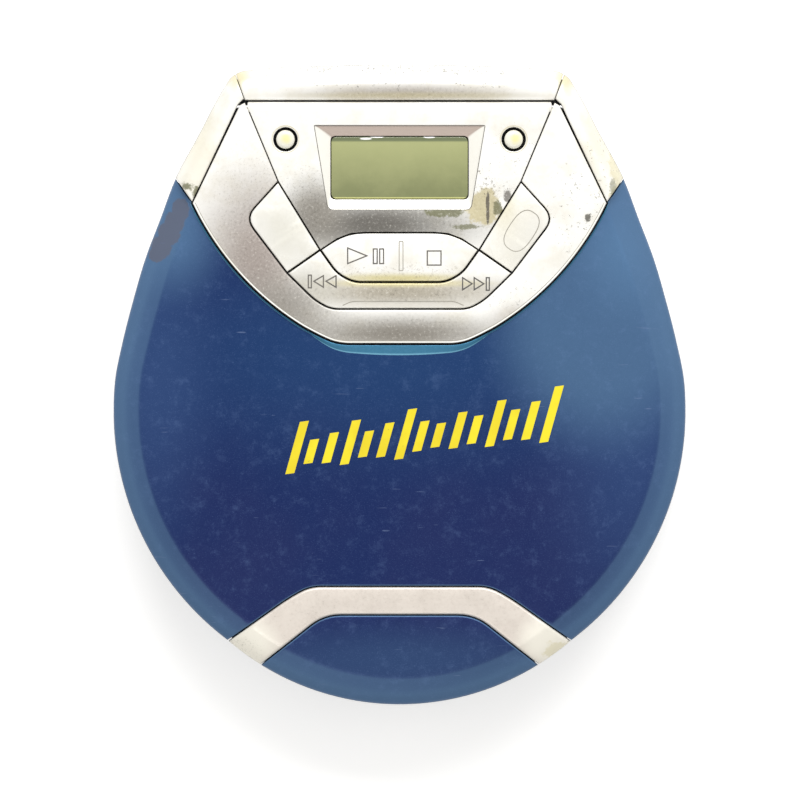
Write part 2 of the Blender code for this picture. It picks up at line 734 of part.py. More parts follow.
def make_lid_shell():
    shell = lid_skin("lid_shell", "lid_blue")
    outer = panel_outer_half()
    edge = mirrored([(0, PANEL_REAR_Y)] + outer + [(0, outer[-1][1])])
    low = moved_outline(edge, COLLAR_WIDTH)
    high = moved_outline(edge, GAP + LIP)
    collar = loft("lid_collar", [[(x, y, LID_TOP - LID_SKIN / 2) for x, y in low],
                                 [(x, y, LID_TOP + COLLAR_RISE) for x, y in high]])
    join(shell, collar)
    keep(shell, prism("lid_region", lid_region(), LID_BOTTOM - OVERRUN, PANEL_TOP + OVERRUN))
    recess = prism("panel_recess", moved_outline(edge, GAP), PANEL_BOTTOM - GAP,
                   PANEL_TOP + OVERRUN)
    window = prism("panel_window", moved_outline(edge, -LEDGE), COVER_BOTTOM,
                   PANEL_TOP + OVERRUN)
    rear = box("hinge_clearance", (-LID_RADIUS, HINGE_Y - HINGE_RADIUS - LEDGE, LID_BOTTOM - OVERRUN),
               (LID_RADIUS, REAR_Y, PANEL_TOP + OVERRUN))
    front = prism("arch_cut", arch_line(-GAP / 2), LID_BOTTOM - OVERRUN, PANEL_TOP + OVERRUN)
    cut(shell, recess, window, rear, front)
    return smooth(shell)


def make_arch_trim():
    arch = lid_skin("arch_trim", "panel_silver")
    keep(arch, prism("arch_region", arch_line(GAP / 2), LID_BOTTOM - OVERRUN, PANEL_TOP))
    cut(arch, prism("crescent_cut", arch_line(ARCH_BAND - GAP / 2), LID_BOTTOM - OVERRUN - LIP,
                    PANEL_TOP + OVERRUN))
    return smooth(arch)


def catch_y():
    return -REAR_Y + CATCH_SETBACK


def make_front_crescent():
    crescent = lid_skin("front_crescent", "lid_blue")
    keep(crescent, prism("crescent_region", arch_line(ARCH_BAND + GAP / 2), LID_BOTTOM - OVERRUN,
                         PANEL_TOP))
    top = LID_TOP - LID_SKIN - LIP
    tab = box("catch_tab", (-CATCH_WIDTH / 2, catch_y(), open_button_top() + LIP),
              (CATCH_WIDTH / 2, catch_y() + CATCH_THICKNESS, top))
    join(crescent, tab)
    return smooth(crescent)


def make_control_panel():
    outer = panel_outer_half()
    ring = two_sided(outer)
    inner = two_sided(list(reversed(panel_inner_half())))
    plate = prism("control_panel", outline_between(ring, inner), PANEL_BOTTOM, PANEL_TOP,
                  "panel_silver")
    cut(plate, box("wing_ends", (-LID_RADIUS, HINGE_Y - HINGE_RADIUS - GAP, COVER_BOTTOM),
                   (LID_RADIUS, REAR_Y, PANEL_TOP + OVERRUN)))
    return bevel_edges(plate)


def outline_between(outer, inner):
    """One U-shaped outline from an outer edge and the edge of the opening inside it."""
    return moved_outline(outer + list(reversed(inner)), -GAP / 2)


def bevel_edges(item, share=0.5):
    step = item.modifiers.new("Soft edges", "BEVEL")
    step.width = LIP * share
    step.segments = 1
    step.limit_method = "ANGLE"
    step.angle_limit = math.radians(50)
    return item


def trapezoid_half():
    return [on_panel(TRAPEZOID_BACK_shares), on_panel(TRAPEZOID_BEND_shares),
            on_panel(TRAPEZOID_FRONT_shares)] + [on_panel(s) for s in ROCKER_BACK_shares]


def lens_outline(margin):
    """Rectangle of the display's window, grown by a margin."""
    half = LENS_WIDTH / 2 + margin
    rear = PANEL_REAR_Y - LENS_SETBACK + margin
    front = PANEL_REAR_Y - LENS_SETBACK - LENS_LENGTH - margin
    corners = [(half, rear), (half, front), (-half, front), (-half, rear)]
    outline = []
    for i, corner in enumerate(corners):
        outline += rounded_corner(corners[i - 1], corner, corners[(i + 1) % 4], LENS_CORNER, 2)
    return outline


def bezel_outline():
    """Outer edge of the sloped recess round the display, with as many points as the window."""
    rear = PANEL_REAR_Y - LENS_SETBACK + BEZEL_MARGIN
    front = PANEL_REAR_Y - LENS_SETBACK - LENS_LENGTH - BEZEL_MARGIN
    back_half = LENS_WIDTH / 2 + BEZEL_BACK_FLARE
    front_half = LENS_WIDTH / 2 + BEZEL_FRONT_FLARE
    corners = [(back_half, rear), (front_half, front), (-front_half, front), (-back_half, rear)]
    outline = []
    for i, corner in enumerate(corners):
        outline += rounded_corner(corners[i - 1], corner, corners[(i + 1) % 4],
                                  LENS_CORNER * 2, 2)
    return outline


def round_button_place(side):
    """Each round button sits between the display's recess and the panel's slanted edge."""
    back, bend = on_panel(TRAPEZOID_BACK_shares), on_panel(TRAPEZOID_BEND_shares)
    share = ROUND_BUTTON_SETBACK / (back[1] - bend[1])
    edge_x = back[0] + (bend[0] - back[0]) * share
    recess_x = LENS_WIDTH / 2 + BEZEL_BACK_FLARE
    x = recess_x + (edge_x - recess_x) * button_place_share
    return (side * x, PANEL_REAR_Y - ROUND_BUTTON_SETBACK)


def barrel_half():
    """Half length of the hinge barrel along the lid's rear edge."""
    return on_panel(PANEL_CHAMFER_shares)[0] + HINGE_RADIUS / 2


def make_display_panel():
    plate = prism("display_panel", moved_outline(two_sided(trapezoid_half()), -GAP / 2),
                  PANEL_BOTTOM, PANEL_TOP, "panel_silver", origin=(0, HINGE_Y, HINGE_Z))
    rounding = box("hinge_edge", (-LID_RADIUS, HINGE_Y, PANEL_BOTTOM - OVERRUN),
                   (LID_RADIUS, REAR_Y, PANEL_TOP + OVERRUN))
    half = barrel_half()
    barrel = rod("hinge_barrel", (-half, HINGE_Y, HINGE_Z), (half, HINGE_Y, HINGE_Z),
                 HINGE_RADIUS, sides=16)
    cut(plate, rounding)
    join(plate, barrel)
    for side in (-1, 1):
        x, y = round_button_place(side)
        hole = rod("round_hole", (x, y, PANEL_BOTTOM - OVERRUN), (x, y, PANEL_TOP + OVERRUN),
                   ROUND_BUTTON_RADIUS + GAP, sides=24)
        bore = rod("hinge_bore", (side * (half - HINGE_PIN_LENGTH / 2), HINGE_Y, HINGE_Z),
                   (side * (half + OVERRUN), HINGE_Y, HINGE_Z),
                   HINGE_PIN_RADIUS + HINGE_BORE_CLEARANCE, sides=12)
        cut(plate, hole, bore)
    recess = loft("bezel_recess",
                  [[(x, y, PANEL_TOP - LENS_DEPTH) for x, y in lens_outline(GAP)],
                   [(x, y, PANEL_TOP) for x, y in bezel_outline()],
                   [(x, y, PANEL_TOP + OVERRUN) for x, y in bezel_outline()]])
    window = prism("lens_window", lens_outline(GAP / 2), PANEL_BOTTOM - OVERRUN,
                   PANEL_TOP + OVERRUN)
    cut(plate, recess, window)
    return plate


def make_display():
    top = PANEL_TOP - LENS_DEPTH
    prism("display_lens", lens_outline(-GAP / 2), PANEL_BOTTOM - GAP / 2, top, "lens_olive")
    lcd_top = PANEL_BOTTOM - GAP
    prism("lcd_panel", lens_outline(LCD_MARGIN), lcd_top - LCD_THICKNESS, lcd_top,
          "black_plastic")


def key_cap(name, outline, centre, stems, axis_z=None):
    """Flat key with stems that reach down to the rubber keypad."""
    origin = (centre[0], centre[1], STEM_BOTTOM if axis_z is None else axis_z)
    key = prism(name, moved_outline(outline, -GAP / 2), PANEL_BOTTOM, PANEL_TOP + KEY_PROUD,
                "panel_silver", origin)
    bevel_edges(key)
    for i, (x, y) in enumerate(stems):
        join(key, rod(f"{name}_stem_{i}", (x, y, STEM_BOTTOM), (x, y, PANEL_BOTTOM + LIP),
                      KEY_STEM_RADIUS, sides=12))
    return key


def side_key_outline(side):
    corner = rounded_corner(on_panel(TRAPEZOID_BEND_shares), on_panel(KEY_CORNER_shares),
                            on_panel(KEY_END_shares), ROUND_BUTTON_RADIUS)
    points = [on_panel(TRAPEZOID_BEND_shares)] + corner
    points += [on_panel(KEY_END_shares), on_panel(TRAPEZOID_FRONT_shares)]
    return [(side * x, y) for x, y in points]


def make_keys():
    for side, name in ((-1, "left_key"), (1, "right_key")):
        outline = side_key_outline(side)
        x = sum(point[0] for point in outline) / len(outline)
        y = sum(point[1] for point in outline) / len(outline)
        key_cap(name, outline, (x, y), [(x, y)])
    for side, name in ((-1, "left_round_button"), (1, "right_round_button")):
        x, y = round_button_place(side)
        top = PANEL_TOP + ROUND_BUTTON_PROUD
        profile = [(1.0, STEM_BOTTOM)]
        profile += [(across, top - down * LIP) for across, down in button_dome_shares]
        rings = [circle_ring((x, y), share * ROUND_BUTTON_RADIUS, z, 20) for share, z in profile]
        smooth(loft(name, rings, "button_cream", origin=(x, y, STEM_BOTTOM)))
    back = [on_panel(TRAPEZOID_FRONT_shares)] + [on_panel(s) for s in ROCKER_BACK_shares]
    front = [on_panel(s) for s in reversed(ROCKER_FRONT_shares)]
    rocker = two_sided(list(reversed(back)) + list(reversed(front)))
    middle = (on_panel(ROCKER_BACK_shares[-1])[1] + on_panel(ROCKER_FRONT_shares[-1])[1]) / 2
    reach = on_panel(ROCKER_FRONT_shares[0])[0]
    key_cap("play_stop_key", rocker, (0, middle), [(-reach, middle), (reach, middle)])
    lower = [on_panel(share) for share in SKIP_FRONT_shares]
    arm = [on_panel(TRAPEZOID_FRONT_shares), on_panel(KEY_END_shares)]
    half = [on_panel(s) for s in reversed(ROCKER_FRONT_shares)] + arm + lower
    skip = half + [(-x, y) for x, y in reversed(half)]
    arm_x = on_panel(SKIP_FRONT_shares[0])[0]
    arm_y = (on_panel(SKIP_FRONT_shares[0])[1] + arm[1][1] + GAP) / 2
    key_cap("skip_key", skip, (0, arm_y), [(-arm_x, arm_y), (arm_x, arm_y)])


def key_area(grow):
    """Outline of the space under the keys and the display."""
    half = [(round_button_place(1)[0] + ROUND_BUTTON_RADIUS, PANEL_REAR_Y - BEZEL_MARGIN * 2),
            on_panel(KEY_CORNER_shares), on_panel(SKIP_FRONT_shares[0]),
            on_panel(SKIP_FRONT_shares[1])]
    return moved_outline(two_sided(half), grow)


def make_lid_inside():
    prism("key_board", key_area(-GAP), KEY_BOARD_BOTTOM, KEY_BOARD_BOTTOM + KEY_BOARD_THICKNESS,
          "board_green")
    pad = prism("rubber_keypad", key_area(-LIP), KEYPAD_BOTTOM,
                KEYPAD_BOTTOM + KEYPAD_THICKNESS, "rubber_grey")
    gap_front = PANEL_REAR_Y - LENS_SETBACK - LENS_LENGTH - LCD_MARGIN - GAP
    half = LENS_WIDTH / 2 + LCD_MARGIN + GAP
    cut(pad, box("keypad_notch", (-half, gap_front, COVER_TOP), (half, REAR_Y, PANEL_TOP)))
    cover = loft("lid_inner_cover", [body_ring(COVER_INSET, COVER_BOTTOM),
                                     body_ring(COVER_INSET, COVER_TOP)], "cover_grey",
                 origin=(0, HINGE_Y, HINGE_Z))
    region = prism("cover_region", moved_outline(lid_region(), -LEDGE), LID_BOTTOM, PANEL_TOP)
    keep(cover, region)
    cut(cover, box("cover_rear", (-LID_RADIUS, HINGE_Y - HINGE_RADIUS - LEDGE, LID_BOTTOM),
                   (LID_RADIUS, REAR_Y, PANEL_TOP)))
    underside = LID_TOP - LID_SKIN - GAP
    for side in (-1, 1):
        for y in (CENTRE_Y - COVER_POST_FRONT_Y, CENTRE_Y + COVER_POST_REAR_Y):
            x = side * (LID_RADIUS - COVER_POST_MARGIN)
            join(cover, rod("cover_post", (x, y, COVER_BOTTOM + LIP), (x, y, underside),
                            COVER_POST_RADIUS, sides=16))
    return cover


# Silver bars and hinge pins


def bar_region_side(side):
    """Outline that one side bar fills, from its mitre with the rear bar to its lower end."""
    start = on_panel(PANEL_START_shares)
    horn = on_panel(PANEL_HORN_shares)
    outer = on_panel(HORN_OUTER_shares)
    shift = BAR_GAP
    slope = Vector((start[0] - horn[0], start[1] - horn[1])).normalized()
    across = Vector((-slope.y, slope.x)) * -1
    if across.x < 0:
        across = -across
    inner_rear = Vector(start) + across * shift
    inner_front = Vector(horn) + across * shift
    away = Vector((outer[0] - horn[0], outer[1] - horn[1])).normalized()
    back = Vector((-away.y, away.x)) * shift
    if back.y < 0:
        back = -back
    end_inner = inner_front + back
    end_outer = end_inner + away * BEVEL_WIDTH * 2
    mitre_in = (on_panel(PANEL_CHAMFER_shares)[0] + GAP, BAR_FRONT_Y + GAP)
    reach = REAR_BAR_DEPTH * bar_mitre_reach_share
    mitre_out = (mitre_in[0] + reach / 2, mitre_in[1] + reach)
    far = (LID_RADIUS, mitre_out[1])
    points = [tuple(inner_rear), tuple(end_inner), tuple(end_outer), far, mitre_out, mitre_in]
    return [(side * x, y) for x, y in points]


def rear_bar_region():
    mitre_in = (on_panel(PANEL_CHAMFER_shares)[0] + GAP, BAR_FRONT_Y)
    reach = REAR_BAR_DEPTH * bar_mitre_reach_share
    mitre_out = (mitre_in[0] + reach / 2, mitre_in[1] + reach)
    half = [(mitre_in[0] - GAP, mitre_in[1]), (mitre_out[0] - GAP, mitre_out[1])]
    return two_sided(half)


def make_bar(name, outline):
    bar = loft(name, bar_rings(0, 0, LID_BOTTOM), "panel_silver")
    keep(bar, prism(name + "_region", outline, LID_BOTTOM - OVERRUN, PANEL_TOP + OVERRUN))
    hollow = loft(name + "_hollow", bar_rings(BAR_WALL, BAR_WALL, LID_BOTTOM - OVERRUN))
    keep(hollow, prism(name + "_room", moved_outline(outline, -BAR_WALL),
                       LID_BOTTOM - OVERRUN * 2, PANEL_TOP))
    cut(bar, hollow)
    return smooth(bar)


def make_bars():
    make_bar("rear_bar", rear_bar_region())
    half = barrel_half()
    for side, name in ((-1, "left"), (1, "right")):
        bar = make_bar(name + "_side_bar", bar_region_side(side))
        inner = side * (half - HINGE_PIN_LENGTH / 2 + GAP)
        outer = side * (half + HINGE_PIN_LENGTH / 2)
        pin = rod(name + "_hinge_pin", (inner, HINGE_Y, HINGE_Z), (outer, HINGE_Y, HINGE_Z),
                  HINGE_PIN_RADIUS, "steel", origin=(inner, HINGE_Y, HINGE_Z), sides=12)
        smooth(pin)
        cut(bar, rod("bar_bore", (side * half, HINGE_Y, HINGE_Z),
                     (outer + side * GAP, HINGE_Y, HINGE_Z),
                     HINGE_PIN_RADIUS + HINGE_BORE_CLEARANCE, sides=12))


# Bottom case, deck, feet and screws


def screw_places():
    places = []
    for angle in (FRONT_SCREW_ANGLE, REAR_SCREW_ANGLE):
        x = SCREW_RING * math.cos(angle)
        y = CENTRE_Y + SCREW_RING * math.sin(angle)
        places += [(-x, y), (x, y)]
    return places


def half_width_at(y):
    """Half the body's width at a place along its length, in the rear half."""
    half = [point for point in body_half() if point[1] >= CENTRE_Y]
    for (near_x, near_y), (far_x, far_y) in zip(half, half[1:]):
        if near_y <= y <= far_y:
            return near_x + (far_x - near_x) * (y - near_y) / (far_y - near_y)
    return half[-1][0]


def foot_places():
    """The rear feet stand midway between the battery door and the edge of the flat bottom."""
    rear_y = REAR_Y - REAR_FOOT_MARGIN
    flat_edge = half_width_at(rear_y) - CASE_INSET - CASE_ROUND_WIDTH
    rear_x = (BAY_SIDE + DOOR_PIN_LENGTH + flat_edge) / 2
    front_x = LID_RADIUS - FRONT_FOOT_SIDE_MARGIN
    front_y = -REAR_Y + FRONT_FOOT_MARGIN
    return [(-front_x, front_y), (front_x, front_y), (-rear_x, rear_y), (rear_x, rear_y)]


def door_box(name, gap):
    """Space of the battery door, grown by a gap; its rear end runs out through the case."""
    half = BAY_SIDE + gap
    front = BAY_FRONT_Y - TUB_WALL - DOOR_OVERLAP
    extra = DOOR_GAP if gap > 0 else 0
    return box(name, (-half, front - extra, -OVERRUN),
               (half, REAR_Y + OVERRUN, CASE_BOTTOM + DOOR_HEIGHT + gap))


def case_shell(name, material):
    shell = loft(name, case_rings(0, 0, CASE_TOP), material)
    return cut(shell, loft(name + "_hollow", case_rings(CASE_SKIN, CASE_SKIN, CASE_TOP + OVERRUN)))


def door_axis():
    return (BAY_FRONT_Y - TUB_WALL - DOOR_OVERLAP + CASE_SKIN / 2, CASE_BOTTOM + CASE_SKIN / 2)


def make_bottom_case():
    case = case_shell("bottom_case", "case_blue")
    for i, (x, y) in enumerate(screw_places()):
        join(case, rod(f"case_boss_{i}", (x, y, CASE_FLOOR - LIP),
                       (x, y, CASE_FLOOR + BOSS_HEIGHT), BOSS_RADIUS, sides=20))
        head_top = CASE_BOTTOM + LIP + SCREW_HEAD_HEIGHT + GAP
        cut(case, rod(f"head_hole_{i}", (x, y, -OVERRUN), (x, y, head_top),
                      SCREW_HEAD_RADIUS + GAP, sides=20),
            rod(f"shank_hole_{i}", (x, y, -OVERRUN), (x, y, CASE_FLOOR + BOSS_HEIGHT + OVERRUN),
                SCREW_SHANK_RADIUS + GAP, sides=16))
    for i, (x, y) in enumerate(foot_places()):
        cut(case, rod(f"foot_seat_{i}", (x, y, -OVERRUN),
                      (x, y, CASE_BOTTOM + FOOT_INSET + GAP), FOOT_RADIUS + GAP, sides=24))
    for i in range(STANDOFF_COUNT):
        angle = STANDOFF_FIRST_ANGLE + i * STANDOFF_STEP_ANGLE
        x = STANDOFF_RING * math.cos(angle)
        y = CENTRE_Y + STANDOFF_RING * math.sin(angle)
        join(case, rod(f"standoff_{i}", (x, y, CASE_FLOOR - LIP), (x, y, BOARD_BOTTOM - GAP),
                       STANDOFF_RADIUS, sides=12))
    cut(case, door_box("door_opening", GAP))
    axis_y, axis_z = door_axis()
    half = BAY_SIDE + DOOR_PIN_LENGTH + GAP
    cut(case, rod("door_pin_holes", (-half, axis_y, axis_z), (half, axis_y, axis_z),
                  DOOR_PIN_RADIUS + HINGE_BORE_CLEARANCE, sides=10))
    cut(case, *wall_holes())
    return smooth(case)


def radial_box(name, angle, inner, outer, half_width, low, high, material=None):
    """Box that points from the disc's centre to the wall, turned to an angle."""
    item = box(name, (inner, CENTRE_Y - half_width, low), (outer, CENTRE_Y + half_width, high),
               material)
    return turn_about(item, angle)


def radial_rod(name, angle, inner, outer, radius, z, material=None, sides=20):
    item = rod(name, (inner, CENTRE_Y, z), (outer, CENTRE_Y, z), radius, material, sides=sides)
    return turn_about(item, angle)


def jack_z():
    return BOARD_TOP + GAP + JACK_HEIGHT / 2


def volume_low():
    return jack_z() - VOLUME_THICKNESS / 2


def hold_z():
    return jack_z()


def wall_holes():
    """Holes through the case's wall for the sockets, the wheel, the switch and the button."""
    reach = LID_RADIUS + OVERRUN
    holes = [radial_rod(name, angle, LID_RADIUS - BEVEL_WIDTH, reach, JACK_NOSE_RADIUS + GAP,
                        jack_z())
             for name, angle in (("headphone_hole", HEADPHONE_ANGLE),
                                 ("line_out_hole", LINE_OUT_ANGLE),
                                 ("power_hole", POWER_ANGLE))]
    holes.append(radial_box("volume_slot", VOLUME_ANGLE, LID_RADIUS - BEVEL_WIDTH, reach,
                            VOLUME_RADIUS - LIP, volume_low() - GAP,
                            volume_low() + VOLUME_THICKNESS + GAP))
    holes.append(radial_box("hold_slot", HOLD_ANGLE, LID_RADIUS - BEVEL_WIDTH, reach,
                            HOLD_STEM_LENGTH / 2 + HOLD_TRAVEL + GAP,
                            hold_z() - HOLD_STEM_HEIGHT / 2 - GAP,
                            hold_z() + HOLD_STEM_HEIGHT / 2 + GAP))
    low = OPEN_LOW - GAP
    holes.append(box("open_slot", (-OPEN_WIDTH / 2 - GAP, -REAR_Y - OVERRUN, low),
                     (OPEN_WIDTH / 2 + GAP, -REAR_Y + CATCH_SETBACK * 2,
                      low + OPEN_HEIGHT + GAP * 2)))
    return holes


def make_deck():
    deck = loft("deck", [body_ring(CASE_INSET, DECK_BOTTOM), body_ring(CASE_INSET, DECK_TOP)],
                "deck_grey")
    wall = turned("well_wall", [(WELL_RADIUS, DECK_BOTTOM + LIP),
                                (WELL_RADIUS + WELL_WALL, DECK_BOTTOM + LIP),
                                (WELL_RADIUS + WELL_WALL, DECK_TOP + WELL_WALL_HEIGHT),
                                (WELL_RADIUS, DECK_TOP + WELL_WALL_HEIGHT)],
                  (0, CENTRE_Y), sides=64)
    join(deck, wall)
    for i, (x, y) in enumerate(screw_places()):
        low = CASE_FLOOR + BOSS_HEIGHT + GAP
        join(deck, rod(f"deck_post_{i}", (x, y, low), (x, y, DECK_BOTTOM + LIP), POST_RADIUS,
                       sides=16))
        cut(deck, rod(f"pilot_hole_{i}", (x, y, low - OVERRUN),
                      (x, y, CASE_BOTTOM + LIP + SCREW_LENGTH + SCREW_HEAD_HEIGHT + GAP),
                      SCREW_SHANK_RADIUS + GAP, sides=12))
    rib = box("spring_rib", (-CATCH_WIDTH / 2, spring_rear_y(), OPEN_LOW - LIP),
              (CATCH_WIDTH / 2, spring_rear_y() + CATCH_THICKNESS, DECK_BOTTOM + LIP))
    join(deck, rib)
    hub = rod("hub_hole", (0, CENTRE_Y, DECK_BOTTOM - OVERRUN), (0, CENTRE_Y, DECK_TOP + OVERRUN),
              DECK_HUB_HOLE, sides=36)
    window = box("laser_window", (0, CENTRE_Y - WINDOW_HALF_WIDTH, DECK_BOTTOM - OVERRUN),
                 (WINDOW_END - LIP, CENTRE_Y + WINDOW_HALF_WIDTH, DECK_TOP + OVERRUN))
    slot = box("catch_slot", (-CATCH_WIDTH / 2 - CATCH_CLEARANCE / 2,
                              catch_y() - CATCH_CLEARANCE, DECK_BOTTOM - OVERRUN),
               (CATCH_WIDTH / 2 + CATCH_CLEARANCE / 2,
                catch_y() + CATCH_THICKNESS + CATCH_CLEARANCE / 2, DECK_TOP + OVERRUN))
    cut(deck, hub, window, slot)
    return smooth(deck)


def make_feet_and_screws():
    for i, (x, y) in enumerate(foot_places()):
        foot = rod(f"rubber_foot_{i + 1}", (x, y, 0), (x, y, CASE_BOTTOM + FOOT_INSET),
                   FOOT_RADIUS, "rubber_black", sides=24)
        smooth(foot)
    for i, (x, y) in enumerate(screw_places()):
        head = CASE_BOTTOM + LIP
        under = head + SCREW_HEAD_HEIGHT
        screw = rod(f"case_screw_{i + 1}", (x, y, head), (x, y, under), SCREW_HEAD_RADIUS,
                    "steel", sides=16)
        join(screw, rod(f"screw_shank_{i}", (x, y, under - LIP), (x, y, head + SCREW_LENGTH),
                        SCREW_SHANK_RADIUS, sides=10))
        slot = SCREW_SHANK_RADIUS * screw_slot_width_share
        reach = SCREW_SHANK_RADIUS * screw_slot_reach_share
        for name, half_x, half_y in (("a", reach, slot), ("b", slot, reach)):
            cut(screw, box(f"screw_slot_{i}_{name}", (x - half_x, y - half_y, head - OVERRUN),
                           (x + half_x, y + half_y, head + SCREW_HEAD_HEIGHT / 2)))


# Battery bay


def make_battery_bay():
    low = CASE_FLOOR + TUB_LIFT
    high = DECK_BOTTOM - GAP
    half = BAY_WIDTH / 2
    rear = BAY_FRONT_Y + BAY_LENGTH
    tub = box("battery_tub", (-half - TUB_WALL, BAY_FRONT_Y - TUB_WALL, low),
              (half + TUB_WALL, rear + TUB_WALL, high), "black_plastic")
    cut(tub, box("battery_room", (-half, BAY_FRONT_Y, low - OVERRUN),
                 (half, rear, high + OVERRUN)))
    axis_y, axis_z = door_axis()
    door = case_shell("battery_door", "case_blue")
    keep(door, door_box("door_space", 0))
    pin_reach = BAY_SIDE + DOOR_PIN_LENGTH
    join(door, rod("door_pins", (-pin_reach, axis_y, axis_z), (pin_reach, axis_y, axis_z),
                   DOOR_PIN_RADIUS, sides=8))
    middle_z = (CASE_FLOOR + DECK_BOTTOM) / 2
    for side, name in ((-1, "left"), (1, "right")):
        outer = side * (half - GAP)
        inner = side * (half - GAP - CONTACT_THICKNESS)
        box(f"battery_plate_{name}",
            (min(outer, inner), BAY_FRONT_Y + OVERRUN, low + OVERRUN),
            (max(outer, inner), rear - OVERRUN, high - OVERRUN), "brass")
    spring_x = half - GAP - CONTACT_THICKNESS - GAP
    for name, side, y in (("front", -1, BAY_FRONT_Y + CELL_RADIUS + LIP),
                          ("rear", 1, rear - CELL_RADIUS - LIP)):
        coil(f"battery_spring_{name}", (side * spring_x, y, middle_z), (-side, 0, 0),
             BATTERY_SPRING_RADIUS, SPRING_WIRE, BATTERY_SPRING_LENGTH, BATTERY_SPRING_TURNS,
             "steel")


# Disc mechanism


def gear_outline(teeth, module, centre, phase):
    """Outline of a spur gear whose first tooth points along the phase angle."""
    pitch_radius = teeth * module / 2
    tip = pitch_radius + module * tooth_height_share
    root = pitch_radius - module * tooth_root_share
    step = math.tau / teeth
    points = []
    for i in range(teeth):
        middle = phase + i * step
        for turn, radius in ((-gear_tooth_foot_share, root), (-tooth_tip_share / 2, tip),
                             (tooth_tip_share / 2, tip), (gear_tooth_foot_share, root)):
            angle = middle + turn * step
            points.append((centre[0] + radius * math.cos(angle),
                           centre[1] + radius * math.sin(angle)))
    return points


def pinion_radius():
    return PINION_TEETH * RACK_MODULE / 2


def rack_line():
    """Y of the rack's pitch line."""
    return CENTRE_Y - SLED_HALF_LENGTH - RACK_BAR - RACK_MODULE * tooth_root_share


def gear_place():
    right = LASER_START + SLED_FRONT
    return (right - RACK_MODULE * math.pi * rack_start_share, rack_line() - pinion_radius())


def sled_motor_place():
    distance = (WHEEL_TEETH + MOTOR_PINION_TEETH) * WHEEL_MODULE / 2
    x, y = gear_place()
    return (x + distance * math.cos(SLED_MOTOR_ANGLE), y + distance * math.sin(SLED_MOTOR_ANGLE))


def make_chassis():
    motor_x, motor_y = sled_motor_place()
    lobe = SLED_MOTOR_RADIUS + OVERRUN
    y = CENTRE_Y
    outline = [(-CHASSIS_LEFT, y + CHASSIS_HALF_LENGTH), (CHASSIS_NECK_X, y + CHASSIS_HALF_LENGTH),
               (CHASSIS_RIGHT, y + CHASSIS_TIP_HALF), (CHASSIS_RIGHT, y - CHASSIS_TIP_HALF),
               (CHASSIS_NECK_X, y - CHASSIS_HALF_LENGTH), (motor_x + lobe, motor_y - lobe),
               (motor_x - lobe, motor_y - lobe), (motor_x - lobe, y - CHASSIS_HALF_LENGTH),
               (-CHASSIS_LEFT, y - CHASSIS_HALF_LENGTH)]
    plate = prism("mech_chassis", outline, CHASSIS_BOTTOM, CHASSIS_TOP, "steel")
    for name, x in (("inner", RAIL_START), ("outer", CHASSIS_RIGHT - RAIL_TAB)):
        for side in (-1, 1):
            middle = y + side * RAIL_SPREAD
            join(plate, box(f"rail_tab_{name}_{side}",
                            (x, middle - RAIL_RADIUS * 2, CHASSIS_BOTTOM - RAIL_TAB_DROP),
                            (x + RAIL_TAB, middle + RAIL_RADIUS * 2, CHASSIS_BOTTOM + LIP)))
    gear_x, gear_y = gear_place()
    join(plate, rod("gear_axle", (gear_x, gear_y, WHEEL_LOW - GAP),
                    (gear_x, gear_y, CHASSIS_BOTTOM + LIP), AXLE_RADIUS, sides=12))
    cut(plate, rod("chassis_hub_hole", (0, y, CHASSIS_BOTTOM - OVERRUN),
                   (0, y, CHASSIS_TOP + OVERRUN), HUB_NECK_RADIUS + GAP, sides=20))
    cut(plate, box("chassis_window",
                   (SLED_LEFT + RAIL_TAB, y - WINDOW_HALF_WIDTH + LIP,
                    CHASSIS_BOTTOM - OVERRUN),
                   (CHASSIS_RIGHT - RAIL_TAB - GAP, y + WINDOW_HALF_WIDTH - LIP,
                    CHASSIS_TOP + OVERRUN)))
    for side in (-1, 1):
        cut(plate, rod(f"rail_holes_{side}", (RAIL_START - OVERRUN, y + side * RAIL_SPREAD, RAIL_Z),
                       (CHASSIS_RIGHT + OVERRUN, y + side * RAIL_SPREAD, RAIL_Z),
                       RAIL_RADIUS + RAIL_CLEARANCE, sides=12))
        rail = rod(f"guide_rail_{'front' if side < 0 else 'rear'}",
                   (RAIL_START, y + side * RAIL_SPREAD, RAIL_Z),
                   (CHASSIS_RIGHT, y + side * RAIL_SPREAD, RAIL_Z), RAIL_RADIUS, "steel",
                   sides=12)
        smooth(rail)
    places = [(-CHASSIS_LEFT + DAMPER_RADIUS * 1.5, CHASSIS_HALF_LENGTH - DAMPER_RADIUS * 1.5),
              (-CHASSIS_LEFT + DAMPER_RADIUS * 1.5, -CHASSIS_HALF_LENGTH + DAMPER_RADIUS * 1.5),
              (CHASSIS_NECK_X, CHASSIS_HALF_LENGTH - DAMPER_RADIUS * 1.5)]
    for i, (x, dy) in enumerate(places):
        smooth(rod(f"rubber_damper_{i + 1}", (x, y + dy, CHASSIS_TOP + GAP),
                   (x, y + dy, DECK_BOTTOM - GAP), DAMPER_RADIUS, "rubber_black", sides=16))


